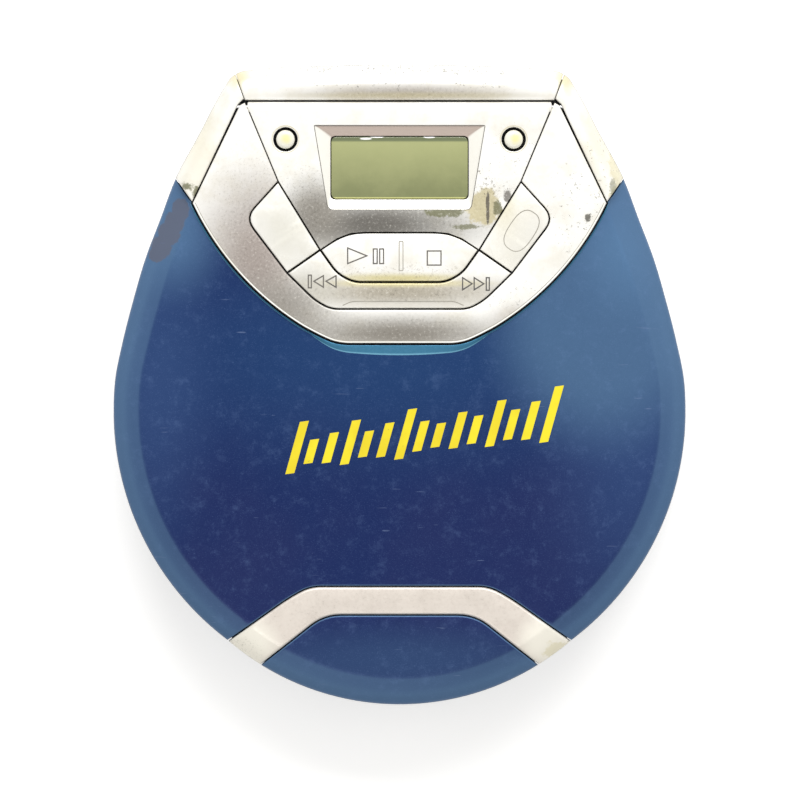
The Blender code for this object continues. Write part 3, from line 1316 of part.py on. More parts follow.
def make_spindle():
    y = CENTRE_Y
    top = CHASSIS_BOTTOM - GAP
    bore = SHAFT_RADIUS + SHAFT_CLEARANCE
    smooth(turned("spindle_motor", [(bore, top), (bore, top - MOTOR_HEIGHT + OVERRUN),
                                    (bore / 2, top - MOTOR_HEIGHT + OVERRUN),
                                    (bore / 2, top - MOTOR_HEIGHT),
                                    (MOTOR_RADIUS, top - MOTOR_HEIGHT), (MOTOR_RADIUS, top)],
                  (0, y), "steel", 28))
    boss_top = DISC_BOTTOM + HUB_BOSS_HEIGHT
    shaft_top = boss_top - LIP
    smooth(rod("spindle_shaft", (0, y, top - MOTOR_HEIGHT + OVERRUN + GAP), (0, y, shaft_top),
               SHAFT_RADIUS, "steel", origin=(0, y, top), sides=12))
    flange_top = DISC_BOTTOM - GAP / 3
    flange_low = flange_top - HUB_FLANGE_THICKNESS
    boss = DISC_HOLE_RADIUS - HUB_FIT
    table = turned("turntable",
                   [(bore, boss_top), (bore, CHASSIS_TOP + GAP), (HUB_NECK_RADIUS, CHASSIS_TOP + GAP),
                    (HUB_NECK_RADIUS, flange_low), (HUB_FLANGE_RADIUS, flange_low),
                    (HUB_FLANGE_RADIUS, flange_top), (boss, flange_top),
                    (boss, boss_top - HUB_CHAMFER), (boss - HUB_CHAMFER, boss_top)],
                   (0, y), "black_plastic", 36, origin=(0, y, flange_low))
    nub_z = DISC_BOTTOM + DISC_THICKNESS
    for i in range(NUB_COUNT):
        shape = bmesh.new()
        bmesh.ops.create_icosphere(shape, subdivisions=2, radius=NUB_RADIUS)
        distance = DISC_HOLE_RADIUS - NUB_SINK
        bmesh.ops.translate(shape, verts=shape.verts, vec=(distance, y, nub_z))
        nub = mesh_object(f"clamp_nub_{i}", shape)
        join(table, turn_about(nub, math.tau * i / NUB_COUNT + math.pi / 2))
    smooth(table)


def make_sled():
    y = CENTRE_Y
    left, right = SLED_LEFT, LASER_START + SLED_FRONT
    low, high = SLED_LOW, SLED_LOW + SLED_HEIGHT
    sled = box("laser_sled", (left, y - SLED_HALF_LENGTH, low), (right, y + SLED_HALF_LENGTH, high),
               "black_plastic", origin=(LASER_START, y, RAIL_Z))
    pitch = RACK_MODULE * math.pi
    line = rack_line()
    inner = y - SLED_HALF_LENGTH
    tip_y = line - RACK_MODULE * tooth_height_share
    root_y = line + RACK_MODULE * tooth_root_share
    gear_x = gear_place()[0]
    start = gear_x + pitch / 2
    outline = [(right, inner + LIP), (right, root_y)]
    for i in range(RACK_TEETH):
        middle = start - i * pitch
        foot, tip = pitch * rack_tooth_foot_share, pitch * tooth_tip_share / 2
        outline += [(middle + foot, root_y), (middle + tip, tip_y), (middle - tip, tip_y),
                    (middle - foot, root_y)]
    end = start - RACK_TEETH * pitch
    outline += [(end, root_y), (end, inner - LIP), (left + LIP, inner - LIP),
                (left + LIP, inner + LIP)]
    middle_z = RAIL_Z
    join(sled, prism("sled_rack", outline, middle_z - RACK_HEIGHT / 2, middle_z + RACK_HEIGHT / 2))
    for side in (-1, 1):
        cut(sled, rod(f"sled_bore_{side}", (left - OVERRUN, y + side * RAIL_SPREAD, RAIL_Z),
                      (right + OVERRUN, y + side * RAIL_SPREAD, RAIL_Z),
                      RAIL_RADIUS + RAIL_CLEARANCE, sides=12))
    holder_right = right - GAP
    lens_top = DECK_TOP - GAP
    holder_top = lens_top - LASER_LENS_HEIGHT - GAP
    holder = box("lens_holder",
                 (holder_right - LENS_HOLDER_WIDTH, y - LENS_HOLDER_LENGTH / 2, high + FOCUS_GAP),
                 (holder_right, y + LENS_HOLDER_LENGTH / 2, holder_top), "black_plastic",
                 origin=(LASER_START, y, high))
    bevel_edges(holder)
    smooth(rod("laser_lens", (LASER_START, y, holder_top + GAP / 3), (LASER_START, y, lens_top),
               LASER_LENS_RADIUS, "laser_glass", sides=20))


def make_gears():
    gear_x, gear_y = gear_place()
    motor_x, motor_y = sled_motor_place()
    low = WHEEL_LOW
    facing = SLED_MOTOR_ANGLE
    gear = prism("drive_gear", gear_outline(WHEEL_TEETH, WHEEL_MODULE, (gear_x, gear_y), facing),
                 low, low + WHEEL_THICKNESS, "gear_white", origin=(gear_x, gear_y, low))
    pinion = prism("rack_pinion", gear_outline(PINION_TEETH, RACK_MODULE, (gear_x, gear_y),
                                               math.pi / 2),
                   low + WHEEL_THICKNESS / 2, RAIL_Z + RACK_HEIGHT / 2)
    join(gear, pinion)
    cut(gear, rod("gear_bore", (gear_x, gear_y, low - OVERRUN),
                  (gear_x, gear_y, CHASSIS_BOTTOM + OVERRUN), AXLE_RADIUS + GEAR_BORE_CLEARANCE,
                  sides=12))
    back = facing + math.pi + math.pi / MOTOR_PINION_TEETH
    pinion = prism("motor_pinion",
                   gear_outline(MOTOR_PINION_TEETH, WHEEL_MODULE, (motor_x, motor_y), back),
                   low, low + WHEEL_THICKNESS, "brass", origin=(motor_x, motor_y, low))
    join(pinion, rod("pinion_shaft", (motor_x, motor_y, low + WHEEL_THICKNESS - LIP),
                     (motor_x, motor_y, SLED_LOW + OVERRUN * 2), SHAFT_RADIUS, sides=10))
    top = CHASSIS_BOTTOM - GAP
    bottom = low + WHEEL_THICKNESS + GAP
    bore = SHAFT_RADIUS + SHAFT_CLEARANCE
    shaft_room = SLED_LOW + OVERRUN * 2 + GAP
    can = rod("sled_motor", (motor_x, motor_y, bottom), (motor_x, motor_y, top),
              SLED_MOTOR_RADIUS, "steel", sides=24)
    cut(can, rod("sled_motor_bore", (motor_x, motor_y, bottom - OVERRUN),
                 (motor_x, motor_y, shaft_room), bore, sides=12))
    smooth(can)


# Boards, sockets and side controls


def make_board():
    count = 40
    ring = [(BOARD_RADIUS * math.cos(math.tau * i / count),
             CENTRE_Y + BOARD_RADIUS * math.sin(math.tau * i / count)) for i in range(count)]
    board = prism("main_board", ring, BOARD_BOTTOM, BOARD_TOP, "board_green")
    cut(board, box("board_rear", (-LID_RADIUS, BOARD_REAR_Y, 0), (LID_RADIUS, REAR_Y, DECK_TOP)))
    for i, (x, y) in enumerate(screw_places()):
        cut(board, rod(f"board_hole_{i}", (x, y, 0), (x, y, DECK_TOP), BOSS_RADIUS + GAP * 2,
                       sides=16))
    chip_y = CENTRE_Y - BOARD_RADIUS + CHIP_INSET
    sunk = BOARD_TOP - LIP
    chip_left = -CHIP_SIDE - CHIP_SIDE / 2
    chip = box("servo_chip", (chip_left, chip_y - CHIP_SIDE / 2, sunk),
               (chip_left + CHIP_SIDE, chip_y + CHIP_SIDE / 2, BOARD_TOP + CHIP_THICKNESS))
    x = chip_left - CHIP_GAP - CAPACITOR_RADIUS
    capacitor = rod("buffer_capacitor", (x, chip_y, sunk),
                    (x, chip_y, BOARD_TOP + CAPACITOR_HEIGHT), CAPACITOR_RADIUS)
    x, y = volume_centre()
    half = VOLUME_BASE_SIDE / 2
    volume_base = box("volume_base", (x - half, y - half, sunk),
                      (x + half, y + half, volume_low() - GAP))
    axle = rod("volume_axle", (x, y, volume_low() - GAP - LIP),
               (x, y, volume_low() + VOLUME_THICKNESS), AXLE_RADIUS, sides=12)
    back = LID_RADIUS - CASE_INSET - HOLD_STEM_DEPTH - GAP
    switch = radial_box("hold_switch_base", HOLD_ANGLE, back - HOLD_BODY_DEPTH, back,
                        HOLD_BODY_LENGTH / 2, sunk, hold_z() + HOLD_STEM_HEIGHT)
    join(board, chip, capacitor, volume_base, axle, switch)


def make_jack(name, angle, bore_radius):
    outer = LID_RADIUS - CASE_INSET - CASE_SKIN - JACK_SETBACK
    inner = outer - JACK_LENGTH
    z = jack_z()
    jack = radial_box(name, angle, inner, outer, JACK_WIDTH / 2, BOARD_TOP + GAP,
                      BOARD_TOP + GAP + JACK_HEIGHT, "black_plastic")
    nose_end = LID_RADIUS - CASE_INSET - LIP
    join(jack, radial_rod(name + "_nose", angle, inner + JACK_LENGTH / 2, nose_end,
                          JACK_NOSE_RADIUS, z))
    cut(jack, radial_rod(name + "_bore", angle, nose_end - JACK_BORE_DEPTH, nose_end + OVERRUN,
                         bore_radius, z, sides=16))
    return jack


def make_sockets():
    make_jack("headphone_jack", HEADPHONE_ANGLE, JACK_BORE_RADIUS)
    make_jack("line_out_jack", LINE_OUT_ANGLE, JACK_BORE_RADIUS)
    power = make_jack("power_jack", POWER_ANGLE, POWER_BORE_RADIUS)
    nose_end = LID_RADIUS - CASE_INSET - LIP
    join(power, radial_rod("power_pin", POWER_ANGLE, nose_end - JACK_BORE_DEPTH - OVERRUN,
                           nose_end - OVERRUN, SHAFT_RADIUS, jack_z(), sides=10))


def volume_centre():
    distance = LID_RADIUS - CASE_INSET + VOLUME_PROUD - VOLUME_RADIUS
    return (distance * math.cos(VOLUME_ANGLE), CENTRE_Y + distance * math.sin(VOLUME_ANGLE))


def make_volume_control():
    x, y = volume_centre()
    low = volume_low()
    outline = []
    for i in range(VOLUME_RIBS * 2):
        radius = VOLUME_RADIUS * (1 - rib_depth_share * (i % 2))
        angle = math.pi * i / VOLUME_RIBS
        outline.append((x + radius * math.cos(angle), y + radius * math.sin(angle)))
    wheel = prism("volume_wheel", outline, low, low + VOLUME_THICKNESS, "black_plastic",
                  origin=(x, y, low))
    cut(wheel, rod("wheel_bore", (x, y, low - OVERRUN), (x, y, low + VOLUME_THICKNESS + OVERRUN),
                   AXLE_RADIUS + GEAR_BORE_CLEARANCE, sides=12))


def make_hold_switch():
    wall = LID_RADIUS - CASE_INSET
    z = hold_z()
    knob = radial_box("hold_switch_knob", HOLD_ANGLE, wall + GAP / 2,
                      wall + GAP / 2 + HOLD_KNOB_THICKNESS, HOLD_KNOB_LENGTH / 2,
                      z - HOLD_KNOB_HEIGHT / 2, z + HOLD_KNOB_HEIGHT / 2, "panel_silver")
    join(knob, radial_box("hold_stem", HOLD_ANGLE, wall - HOLD_STEM_DEPTH, wall + GAP,
                          HOLD_STEM_LENGTH / 2, z - HOLD_STEM_HEIGHT / 2,
                          z + HOLD_STEM_HEIGHT / 2))


# Open button


def open_button_top():
    return OPEN_LOW + OPEN_HEIGHT


def open_front_y():
    return -REAR_Y + CASE_INSET - OPEN_PROUD


def spring_rear_y():
    return open_front_y() + OPEN_DEPTH + GAP + OPEN_SPRING_LENGTH + GAP


def make_open_button():
    front = open_front_y()
    low = OPEN_LOW
    button = box("open_button", (-OPEN_WIDTH / 2, front, low),
                 (OPEN_WIDTH / 2, front + OPEN_DEPTH, low + OPEN_HEIGHT), "panel_silver",
                 origin=(0, front, low))
    bevel_edges(button)
    coil("open_button_spring", (0, front + OPEN_DEPTH + GAP, low + OPEN_HEIGHT / 2), (0, 1, 0),
         OPEN_SPRING_RADIUS, SPRING_WIRE, OPEN_SPRING_LENGTH, OPEN_SPRING_TURNS, "steel")


clear_scene()
PARTS = make_collection("portable_disc_player")
CUTTERS = make_collection("cutters")
MATERIALS = {name: make_material(name) for name in COLOURS}

make_lid_shell()
make_arch_trim()
make_front_crescent()
make_control_panel()
make_display_panel()
make_display()
make_keys()
make_lid_inside()
make_bars()
make_bottom_case()
make_deck()
make_feet_and_screws()
make_battery_bay()
make_chassis()
make_spindle()
make_sled()
make_gears()
make_board()
make_sockets()
make_volume_control()
make_hold_switch()
make_open_button()
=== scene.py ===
"""Looks of the portable disc player: smooth skins, finishes, prints and wear round the CAD frame.

Everything is in the frame's metres. +X is the player's right, +Y its rear and +Z up.
"""
import math

import bmesh
import bpy
import numpy as np
from mathutils import Matrix, Vector
from mathutils.geometry import delaunay_2d_cdt
from mathutils.kdtree import KDTree


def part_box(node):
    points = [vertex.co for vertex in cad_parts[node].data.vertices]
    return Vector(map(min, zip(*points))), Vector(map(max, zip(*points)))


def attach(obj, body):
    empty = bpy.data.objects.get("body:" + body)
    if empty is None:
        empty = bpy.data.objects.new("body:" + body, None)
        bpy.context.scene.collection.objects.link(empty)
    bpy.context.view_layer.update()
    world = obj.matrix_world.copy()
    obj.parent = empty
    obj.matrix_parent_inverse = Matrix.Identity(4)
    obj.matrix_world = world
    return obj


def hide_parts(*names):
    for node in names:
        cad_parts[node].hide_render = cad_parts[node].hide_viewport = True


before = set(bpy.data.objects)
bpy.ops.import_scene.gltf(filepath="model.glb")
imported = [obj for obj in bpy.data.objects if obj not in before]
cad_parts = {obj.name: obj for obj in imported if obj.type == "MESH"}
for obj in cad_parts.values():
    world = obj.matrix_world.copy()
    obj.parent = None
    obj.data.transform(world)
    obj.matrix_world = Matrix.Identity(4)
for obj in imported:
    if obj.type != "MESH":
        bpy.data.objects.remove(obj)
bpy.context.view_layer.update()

MM = 0.001


def low(node):
    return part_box(node)[0]


def high(node):
    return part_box(node)[1]


# Places read from the frame
LID_RADIUS = high("lid_shell").x
REAR_Y = high("rear_bar").y
CENTRE_Y = (low("turntable").y + high("turntable").y) / 2
LID_TOP = high("arch_trim").z
LID_BOTTOM = low("arch_trim").z
PANEL_TOP = high("control_panel").z
PANEL_BOTTOM = low("control_panel").z
PANEL_REAR_Y = high("display_panel").y
KEY_TOP = high("left_key").z
STEM_BOTTOM = low("left_key").z
BUTTON_TOP = high("left_round_button").z
LENS_TOP = high("display_lens").z
LENS_HALF = high("display_lens").x
LENS_REAR = high("display_lens").y
LENS_FRONT = low("display_lens").y

# Clearances and skins
GAP = 0.3 * MM
SEAM = 0.26 * MM
KEY_SEAM = 0.5 * MM
OVERRUN = 1.0 * MM
LID_WALL = 1.8 * MM
LID_SKIN = 1.7 * MM
BAR_WALL = 1.5 * MM
EDGE = 0.36 * MM
BAR_GAP = 0.4 * MM
PRINT_HEIGHT = 0.03 * MM
EXTRA_CLEARANCE = 0.2 * MM
INNER_ROOF = low("lid_inner_cover").z
PIN_ROOM = 0.65 * MM

# Body outline
ARCH_FOOT_SETBACK = 15.1 * MM
ARCH_TOP_SETBACK = 27.8 * MM
ARCH_BAND = 6.7 * MM
CENTRE_SHIFT = 12.0 * MM
body_side_shares = [
    (0.995, 0.089), (0.967, 0.206), (0.931, 0.322), (0.890, 0.438), (0.837, 0.554),
    (0.782, 0.673), (0.701, 0.798), (0.611, 0.936), (0.590, 0.962), (0.560, 0.978),
    (0.510, 0.985), (0.260, 0.996), (0.0, 1.0),
]

# Profiles of the skins: (inset, height below or above the reference), from the outside in
BEVEL_WIDTH = 6.2 * MM
BEVEL_DROP = 3.6 * MM
BAR_SLOPE_WIDTH = 5.0 * MM
BAR_SLOPE_DROP = 4.5 * MM
ARCH_EDGE = 0.6 * MM
WING_SWING = 1.4 * MM
SHOULDER_HALF = 21.0 * MM
SIDE_SHOULDER = 0.6 * MM
FRONT_SHOULDER = 2.75 * MM
shoulder_shares = [0.35, 0.7, 0.9, 1.0, 1.12, 1.4]

# Control panel outlines, in the panel's own shares of half width and depth
PANEL_SIDE_MARGIN = 18.6 * MM
PANEL_HALF_WIDTH = LID_RADIUS - PANEL_SIDE_MARGIN
PANEL_DEPTH = 56.5 * MM
BAR_FRONT_Y = PANEL_REAR_Y + BAR_GAP
panel_start_shares = (0.772, 0.014)
trapezoid_back_shares = (0.745, 0.0)
trapezoid_bend_shares = (0.585, 0.329)
trapezoid_front_shares = (0.382, 0.612)
key_corner_shares = (0.745, 0.480)
key_end_shares = (0.543, 0.708)
rocker_back_shares = [(0.300, 0.566), (0.235, 0.545), (0.167, 0.540)]
rocker_front_shares = [(0.302, 0.708), (0.223, 0.745)]
skip_front_shares = [(0.411, 0.819), (0.333, 0.857)]
horn_outer_shares = (1.085, 0.315)
horn_shares = (1.0, 0.419)
arc_end_shares = (0.355, 0.982)
panel_front_shares = (0.277, 1.0)
PANEL_ARC_BULGE = 3.8 * MM
KEY_CORNER_RADIUS = 3.3 * MM
COLLAR_RISE = 0.8 * MM
BEZEL_BACK_FLARE = 3.9 * MM
BEZEL_FRONT_FLARE = 0.6 * MM
BEZEL_MARGIN = 2.5 * MM
LENS_CORNER = 1.3 * MM
BEZEL_REAR_ROUND = 0.3 * MM
PANEL_ROUND = 6.0 * MM
ROUND_HOLE = 2.86 * MM
BARREL_SETBACK = 0.6 * MM
PIN_BORE = 0.65 * MM
PIN_DEPTH = 2.6 * MM
HINGE_RADIUS = 1.2 * MM
HINGE_Y = PANEL_REAR_Y - HINGE_RADIUS
HINGE_Z = PANEL_TOP - HINGE_RADIUS
WING_REAR = HINGE_Y + 0.95 * MM
REAR_BAR_DEPTH = REAR_Y - BAR_FRONT_Y

# Arch and side bars
arch_knee_share = 0.52
arch_shoulder_share = 0.65
arch_shoulder_drop_share = 0.85
arch_end_drop_share = 1.15
bar_mitre_reach_share = 1.35
mitre_lean_share = 0.36
arch_front_slope_share = 0.79
ARCH_FRONT_KNEE = 17.6 * MM
ARCH_FRONT_ROUND = 4.0 * MM
ARCH_CORNER = 3.2 * MM

# Mesh fineness
POINT_STEP = 1.0 * MM
TOP_GRID = 5.0 * MM
ROUND_STEPS = 3
ARC_STEPS = 48
SAME = 0.02 * MM
CROWDED = 0.12 * MM
MITRE_LIMIT = 0.5
bar_ring_insets = [0.45, 0.7, 1.0, 1.4, 1.9, 2.5, 3.2, 4.0, 4.6, 5.0]
lid_ring_insets = [0.45, 0.65, 0.9, 1.25, 1.8, 2.6, 3.6, 4.7, 5.6, 6.0, 6.4, 6.9, 7.4, 7.9]

# The lid's catch
CATCH_SETBACK = 3.7 * MM
CATCH_WIDTH = 8.0 * MM
CATCH_THICKNESS = 1.2 * MM
CATCH_LIFT = 0.4 * MM

# Round button caps
cap_share = 0.86
CAP_SKIRT = 0.9 * MM
CAP_DOME = 0.75 * MM
CAP_STEPS = 8
cap_dome_share = 0.86
cap_tip_share = 0.06

# Inlaid lines
INLAY = 0.06 * MM
LINE_WIDTH = 0.3 * MM
FINE_LINE = 0.2 * MM
BUTTON_RIM = 0.24 * MM
RIM_SETBACK = 0.42 * MM
RIM_LINE = 0.3 * MM
GROOVE_SETBACK = 0.68 * MM
GROOVE_LINE = 0.14 * MM

# Places in the picture, in picture steps
PICTURE_X = 399.5
PICTURE_Y = 384.5
PICTURE_STEP = 0.2351 * MM
MOTIF_LEFT = 286
MOTIF_BASE = 459
MOTIF_STEP = 18.0
MOTIF_RISE = 2.3
MOTIF_BAR = 9
MOTIF_BAR_RISE = 1.2
motif_lean_share = 0.28
motif_foot_share = 0.28
motif_head_share = 0.72
motif_heights = [52, 24, 30, 44, 26, 34, 50, 30, 24, 36, 28, 46, 30, 38, 56]

# Edges and shading of the frame's own pieces
SOFT_EDGE = 0.15 * MM
BEVEL_ANGLE = 40
SHADE_ANGLE = 32

# Stage and camera
FLOOR_LIFT = 0.42
VIEW_WIDTH = 186.7 * MM
VIEW_X = 0.1 * MM
VIEW_Y = -3.6 * MM
SENSOR_WIDTH = 36
FOCAL_LENGTH = 250


# Plan outlines


def hermite(points, first, last, steps):
    """Smooth line through points that leaves and arrives along the given directions."""
    spots = [Vector(point) for point in points]
    lengths = [(b - a).length for a, b in zip(spots, spots[1:])]
    slopes = [Vector(first)]
    for i in range(1, len(spots) - 1):
        back = (spots[i] - spots[i - 1]) / lengths[i - 1]
        ahead = (spots[i + 1] - spots[i]) / lengths[i]
        whole = lengths[i - 1] + lengths[i]
        slopes.append((back * lengths[i] + ahead * lengths[i - 1]) / whole)
    slopes.append(Vector(last))
    line = []
    for i, length in enumerate(lengths):
        for k in range(steps):
            t = k / steps
            line.append(tuple(
                spots[i] * (2 * t ** 3 - 3 * t ** 2 + 1)
                + slopes[i] * length * (t ** 3 - 2 * t ** 2 + t)
                + spots[i + 1] * (3 * t ** 2 - 2 * t ** 3)
                + slopes[i + 1] * length * (t ** 3 - t ** 2)))
    line.append(tuple(spots[-1]))
    return line


def arc_between(start, end, bulge, steps):
    """Points of an arc from start to end; a positive bulge is to its left."""
    start, end = Vector(start), Vector(end)
    chord = end - start
    radius = (chord.length ** 2 / 4 + bulge ** 2) / (2 * abs(bulge))
    normal = Vector((-chord.y, chord.x)).normalized() * math.copysign(1, bulge)
    centre = (start + end) / 2 - normal * (radius - abs(bulge))
    first = start - centre
    sweep = -math.copysign(2 * math.asin(chord.length / 2 / radius), bulge)
    return [tuple(centre + Matrix.Rotation(sweep * i / steps, 2) @ first)
            for i in range(steps + 1)]


def two_sided(half):
    return half + [(-x, y) for x, y in reversed(half) if abs(x) > SAME]


def body_outline():
    """The body's outline, counter-clockwise, in short steps."""
    foot_y = ARCH_FOOT_SETBACK - REAR_Y
    foot_x = math.sqrt(LID_RADIUS ** 2 - (foot_y - CENTRE_Y) ** 2)
    rise = ARCH_FOOT_SETBACK
    bulge_radius = (foot_x ** 2 + rise ** 2) / (2 * rise)
    reach = math.asin(foot_x / bulge_radius)
    half = []
    for i in range(ARC_STEPS):
        angle = reach * i / ARC_STEPS
        half.append((bulge_radius * math.sin(angle),
                     -REAR_Y + bulge_radius * (1 - math.cos(angle))))
    first = math.atan2(foot_y - CENTRE_Y, foot_x)
    for i in range(ARC_STEPS):
        angle = first * (1 - i / ARC_STEPS)
        half.append((LID_RADIUS * math.cos(angle), CENTRE_Y + LID_RADIUS * math.sin(angle)))
    behind = REAR_Y - CENTRE_Y
    side = [(LID_RADIUS, CENTRE_Y)]
    side += [(x * LID_RADIUS, CENTRE_Y + y * behind) for x, y in body_side_shares]
    half += hermite(side, (0, 1), (-1, 0), 8)
    return two_sided([(min(x, LID_RADIUS), min(y, REAR_Y)) for x, y in half])


MIDDLE = Vector((0, CENTRE_Y + CENTRE_SHIFT))
BODY = np.array(body_outline())


def reach_table():
    """Distance of the outline from the middle, against the angle."""
    across = BODY - np.array(MIDDLE)
    angles = np.arctan2(across[:, 1], across[:, 0])
    order = np.argsort(angles)
    angles, spans = angles[order], np.hypot(across[:, 0], across[:, 1])[order]
    angles = np.concatenate([angles[-1:] - math.tau, angles, angles[:1] + math.tau])
    return angles, np.concatenate([spans[-1:], spans, spans[:1]])


REACH_ANGLES, REACH_SPANS = reach_table()


def body_inset(points):
    """How far in from the body's outline each point lies, towards the middle."""
    across = points - np.array(MIDDLE)
    angles = np.arctan2(across[:, 1], across[:, 0])
    return np.interp(angles, REACH_ANGLES, REACH_SPANS) - np.hypot(across[:, 0], across[:, 1])


def body_ring(inset):
    across = np.array(MIDDLE) - BODY
    return BODY + across / np.linalg.norm(across, axis=1)[:, None] * inset


def moved(loop, distance):
    """Closed line moved to its left by a distance, with its corners kept."""
    loop = np.asarray(loop)
    ahead = np.roll(loop, -1, axis=0) - loop
    ahead /= np.linalg.norm(ahead, axis=1)[:, None]
    back = np.roll(ahead, 1, axis=0)
    bisector = np.stack([-ahead[:, 1] - back[:, 1], ahead[:, 0] + back[:, 0]], axis=1)
    scale = 2 / np.maximum((bisector ** 2).sum(axis=1), MITRE_LIMIT)
    return loop + bisector * (distance * scale)[:, None]


def anticlockwise(loop):
    loop = np.asarray(loop)
    after = np.roll(loop, -1, axis=0)
    area = (loop[:, 0] * after[:, 1] - after[:, 0] * loop[:, 1]).sum()
    return loop if area > 0 else loop[::-1]


def grown(loop, distance):
    """Closed line moved outward by a distance, or inward where it is negative."""
    return moved(anticlockwise(loop), -distance)


def in_loops(points, loops):
    """Whether each point is inside an odd number of the loops."""
    result = np.zeros(len(points), bool)
    x, y = points[:, 0], points[:, 1]
    for loop in loops:
        loop = np.asarray(loop)
        for (ax, ay), (bx, by) in zip(loop, np.roll(loop, -1, axis=0)):
            if ay != by:
                crossing = ((ay > y) != (by > y)) & (x < (bx - ax) * (y - ay) / (by - ay) + ax)
                result ^= crossing
    return result


def from_line(points, loop):
    """Distance of each point from a closed line."""
    loop = np.asarray(loop)
    nearest = np.full(len(points), LID_RADIUS)
    for a, b in zip(loop, np.roll(loop, -1, axis=0)):
        span = b - a
        share = np.clip(((points - a) @ span) / max(span @ span, SAME ** 2), 0, 1)
        gap = points - a - share[:, None] * span
        nearest = np.minimum(nearest, np.hypot(gap[:, 0], gap[:, 1]))
    return nearest


def triangulate(points, edges):
    """Triangles over points that keep the given edges."""
    spots = [Vector((float(x), float(y))) for x, y in points]
    verts, _, faces, origins, _, _ = delaunay_2d_cdt(spots, edges, [], 0, SAME ** 2)
    return np.array([tuple(v) for v in verts]), np.array([tuple(f) for f in faces]), origins


def loop_edges(loops):
    edges = []
    start = 0
    for loop in loops:
        count = len(loop)
        edges += [(start + i, start + (i + 1) % count) for i in range(count)]
        start += count
    return edges


def region(inside, outside=(), rear=None, holes=()):
    """Closed boundary lines, with the region to their left, of what is inside some loops,
    outside others and, where a rear line is given, in front of it."""
    across = [] if rear is None else [[
        (-LID_RADIUS, rear), (LID_RADIUS, rear),
        (LID_RADIUS, REAR_Y + OVERRUN), (-LID_RADIUS, REAR_Y + OVERRUN)]]
    loops = [*inside, *outside, *across, *holes]
    points, faces, _ = triangulate(np.concatenate([np.asarray(l) for l in loops]),
                                   loop_edges(loops))
    middles = points[faces].mean(axis=1)
    keep = np.ones(len(faces), bool)
    for loop in inside:
        keep &= in_loops(middles, [loop])
    for loop in (*outside, *across, *holes):
        keep &= ~in_loops(middles, [loop])
    kept = faces[keep]
    directed = {(int(f[i]), int(f[(i + 1) % 3])) for f in kept for i in range(3)}
    follow = {a: b for a, b in directed if (b, a) not in directed}
    found = []
    while follow:
        first, here = follow.popitem()
        chain = [first]
        while here in follow:
            chain.append(here)
            here = follow.pop(here)
        found.append(tidied(points[chain]))
    return [loop for loop in found if len(loop) > 3]


def tidied(loop):
    """Closed line without points that crowd each other, in steps of the usual length."""
    kept = [loop[0]]
    for point in loop[1:]:
        if np.hypot(*(point - kept[-1])) > CROWDED:
            kept.append(point)
    if np.hypot(*(kept[0] - kept[-1])) < CROWDED:
        kept.pop()
    fine = []
    for a, b in zip(kept, kept[1:] + kept[:1]):
        count = max(1, round(float(np.hypot(*(b - a))) / POINT_STEP))
        fine += [a + (b - a) * i / count for i in range(count)]
    return np.array(fine)


# Meshes


def mesh_piece(name, verts, faces, material, body, smooth_angle=40):
    mesh = bpy.data.meshes.new(name)
    mesh.from_pydata([tuple(map(float, v)) for v in verts], [], faces)
    shape = bmesh.new()
    shape.from_mesh(mesh)
    bmesh.ops.remove_doubles(shape, verts=shape.verts, dist=SAME / 4)
    bmesh.ops.recalc_face_normals(shape, faces=shape.faces)
    shape.to_mesh(mesh)
    shape.free()
    item = bpy.data.objects.new(name, mesh)
    bpy.context.scene.collection.objects.link(item)
    mesh.shade_smooth()
    mesh.set_sharp_from_angle(angle=math.radians(smooth_angle))
    mesh.materials.append(material)
    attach(item, body)
    return item


def soft_box(name, low_corner, high_corner, material, body, edge=0.25 * MM):
    """Block with rounded edges."""
    shape = bmesh.new()
    bmesh.ops.create_cube(shape, size=1.0)
    size = Vector(high_corner) - Vector(low_corner)
    bmesh.ops.scale(shape, verts=shape.verts, vec=size)
    bmesh.ops.translate(shape, verts=shape.verts,
                        vec=(Vector(high_corner) + Vector(low_corner)) / 2)
    bmesh.ops.bevel(shape, geom=shape.edges[:], offset=edge, segments=2, affect="EDGES")
    verts = [tuple(v.co) for v in shape.verts]
    faces = [tuple(v.index for v in f.verts) for f in shape.faces]
    shape.free()
    return mesh_piece(name, verts, faces, material, body)


def relief(name, loops, height, skirt, extra, edge, material, body):
    """Skin over a plan region: rounded rims, a filled middle and skirts down its sides."""
    flat = []
    spaces = []
    for loop in loops:
        rows = []
        for step in range(ROUND_STEPS + 1):
            angle = math.pi / 2 * step / ROUND_STEPS
            spot = moved(loop, edge * (1 - math.cos(angle)))
            rows.append((spot, height(spot) - edge * (1 - math.sin(angle))))
        for inset, level in skirt(loop):
            rows.insert(0, (moved(loop, inset), level))
        flat.append(rows)
        spaces.append(rows[-1][0])
    inner = np.concatenate(spaces)
    points = inner
    if len(extra):
        clear = in_loops(extra, spaces) & (nearest_loop(extra, spaces) > EXTRA_CLEARANCE)
        points = np.concatenate([inner, extra[clear]])
    spots, faces, origins = triangulate(points, loop_edges(spaces))
    faces = faces[in_loops(spots[faces].mean(axis=1), spaces)]
    verts = [(x, y, z) for (x, y), z in zip(spots, height(spots))]
    made = [tuple(int(i) for i in face) for face in faces]
    place = {origin: i for i, group in enumerate(origins) for origin in group}
    start = 0
    for rows in flat:
        count = len(rows[-1][0])
        upper = [place[start + i] for i in range(count)]
        for spot, level in reversed(rows[:-1]):
            base = len(verts)
            level = np.broadcast_to(level, count)
            verts += [(x, y, z) for (x, y), z in zip(spot, level)]
            lower = [base + i for i in range(count)]
            for i in range(count):
                j = (i + 1) % count
                made.append((lower[i], lower[j], upper[j], upper[i]))
            upper = lower
        start += count
    return mesh_piece(name, verts, made, material, body)


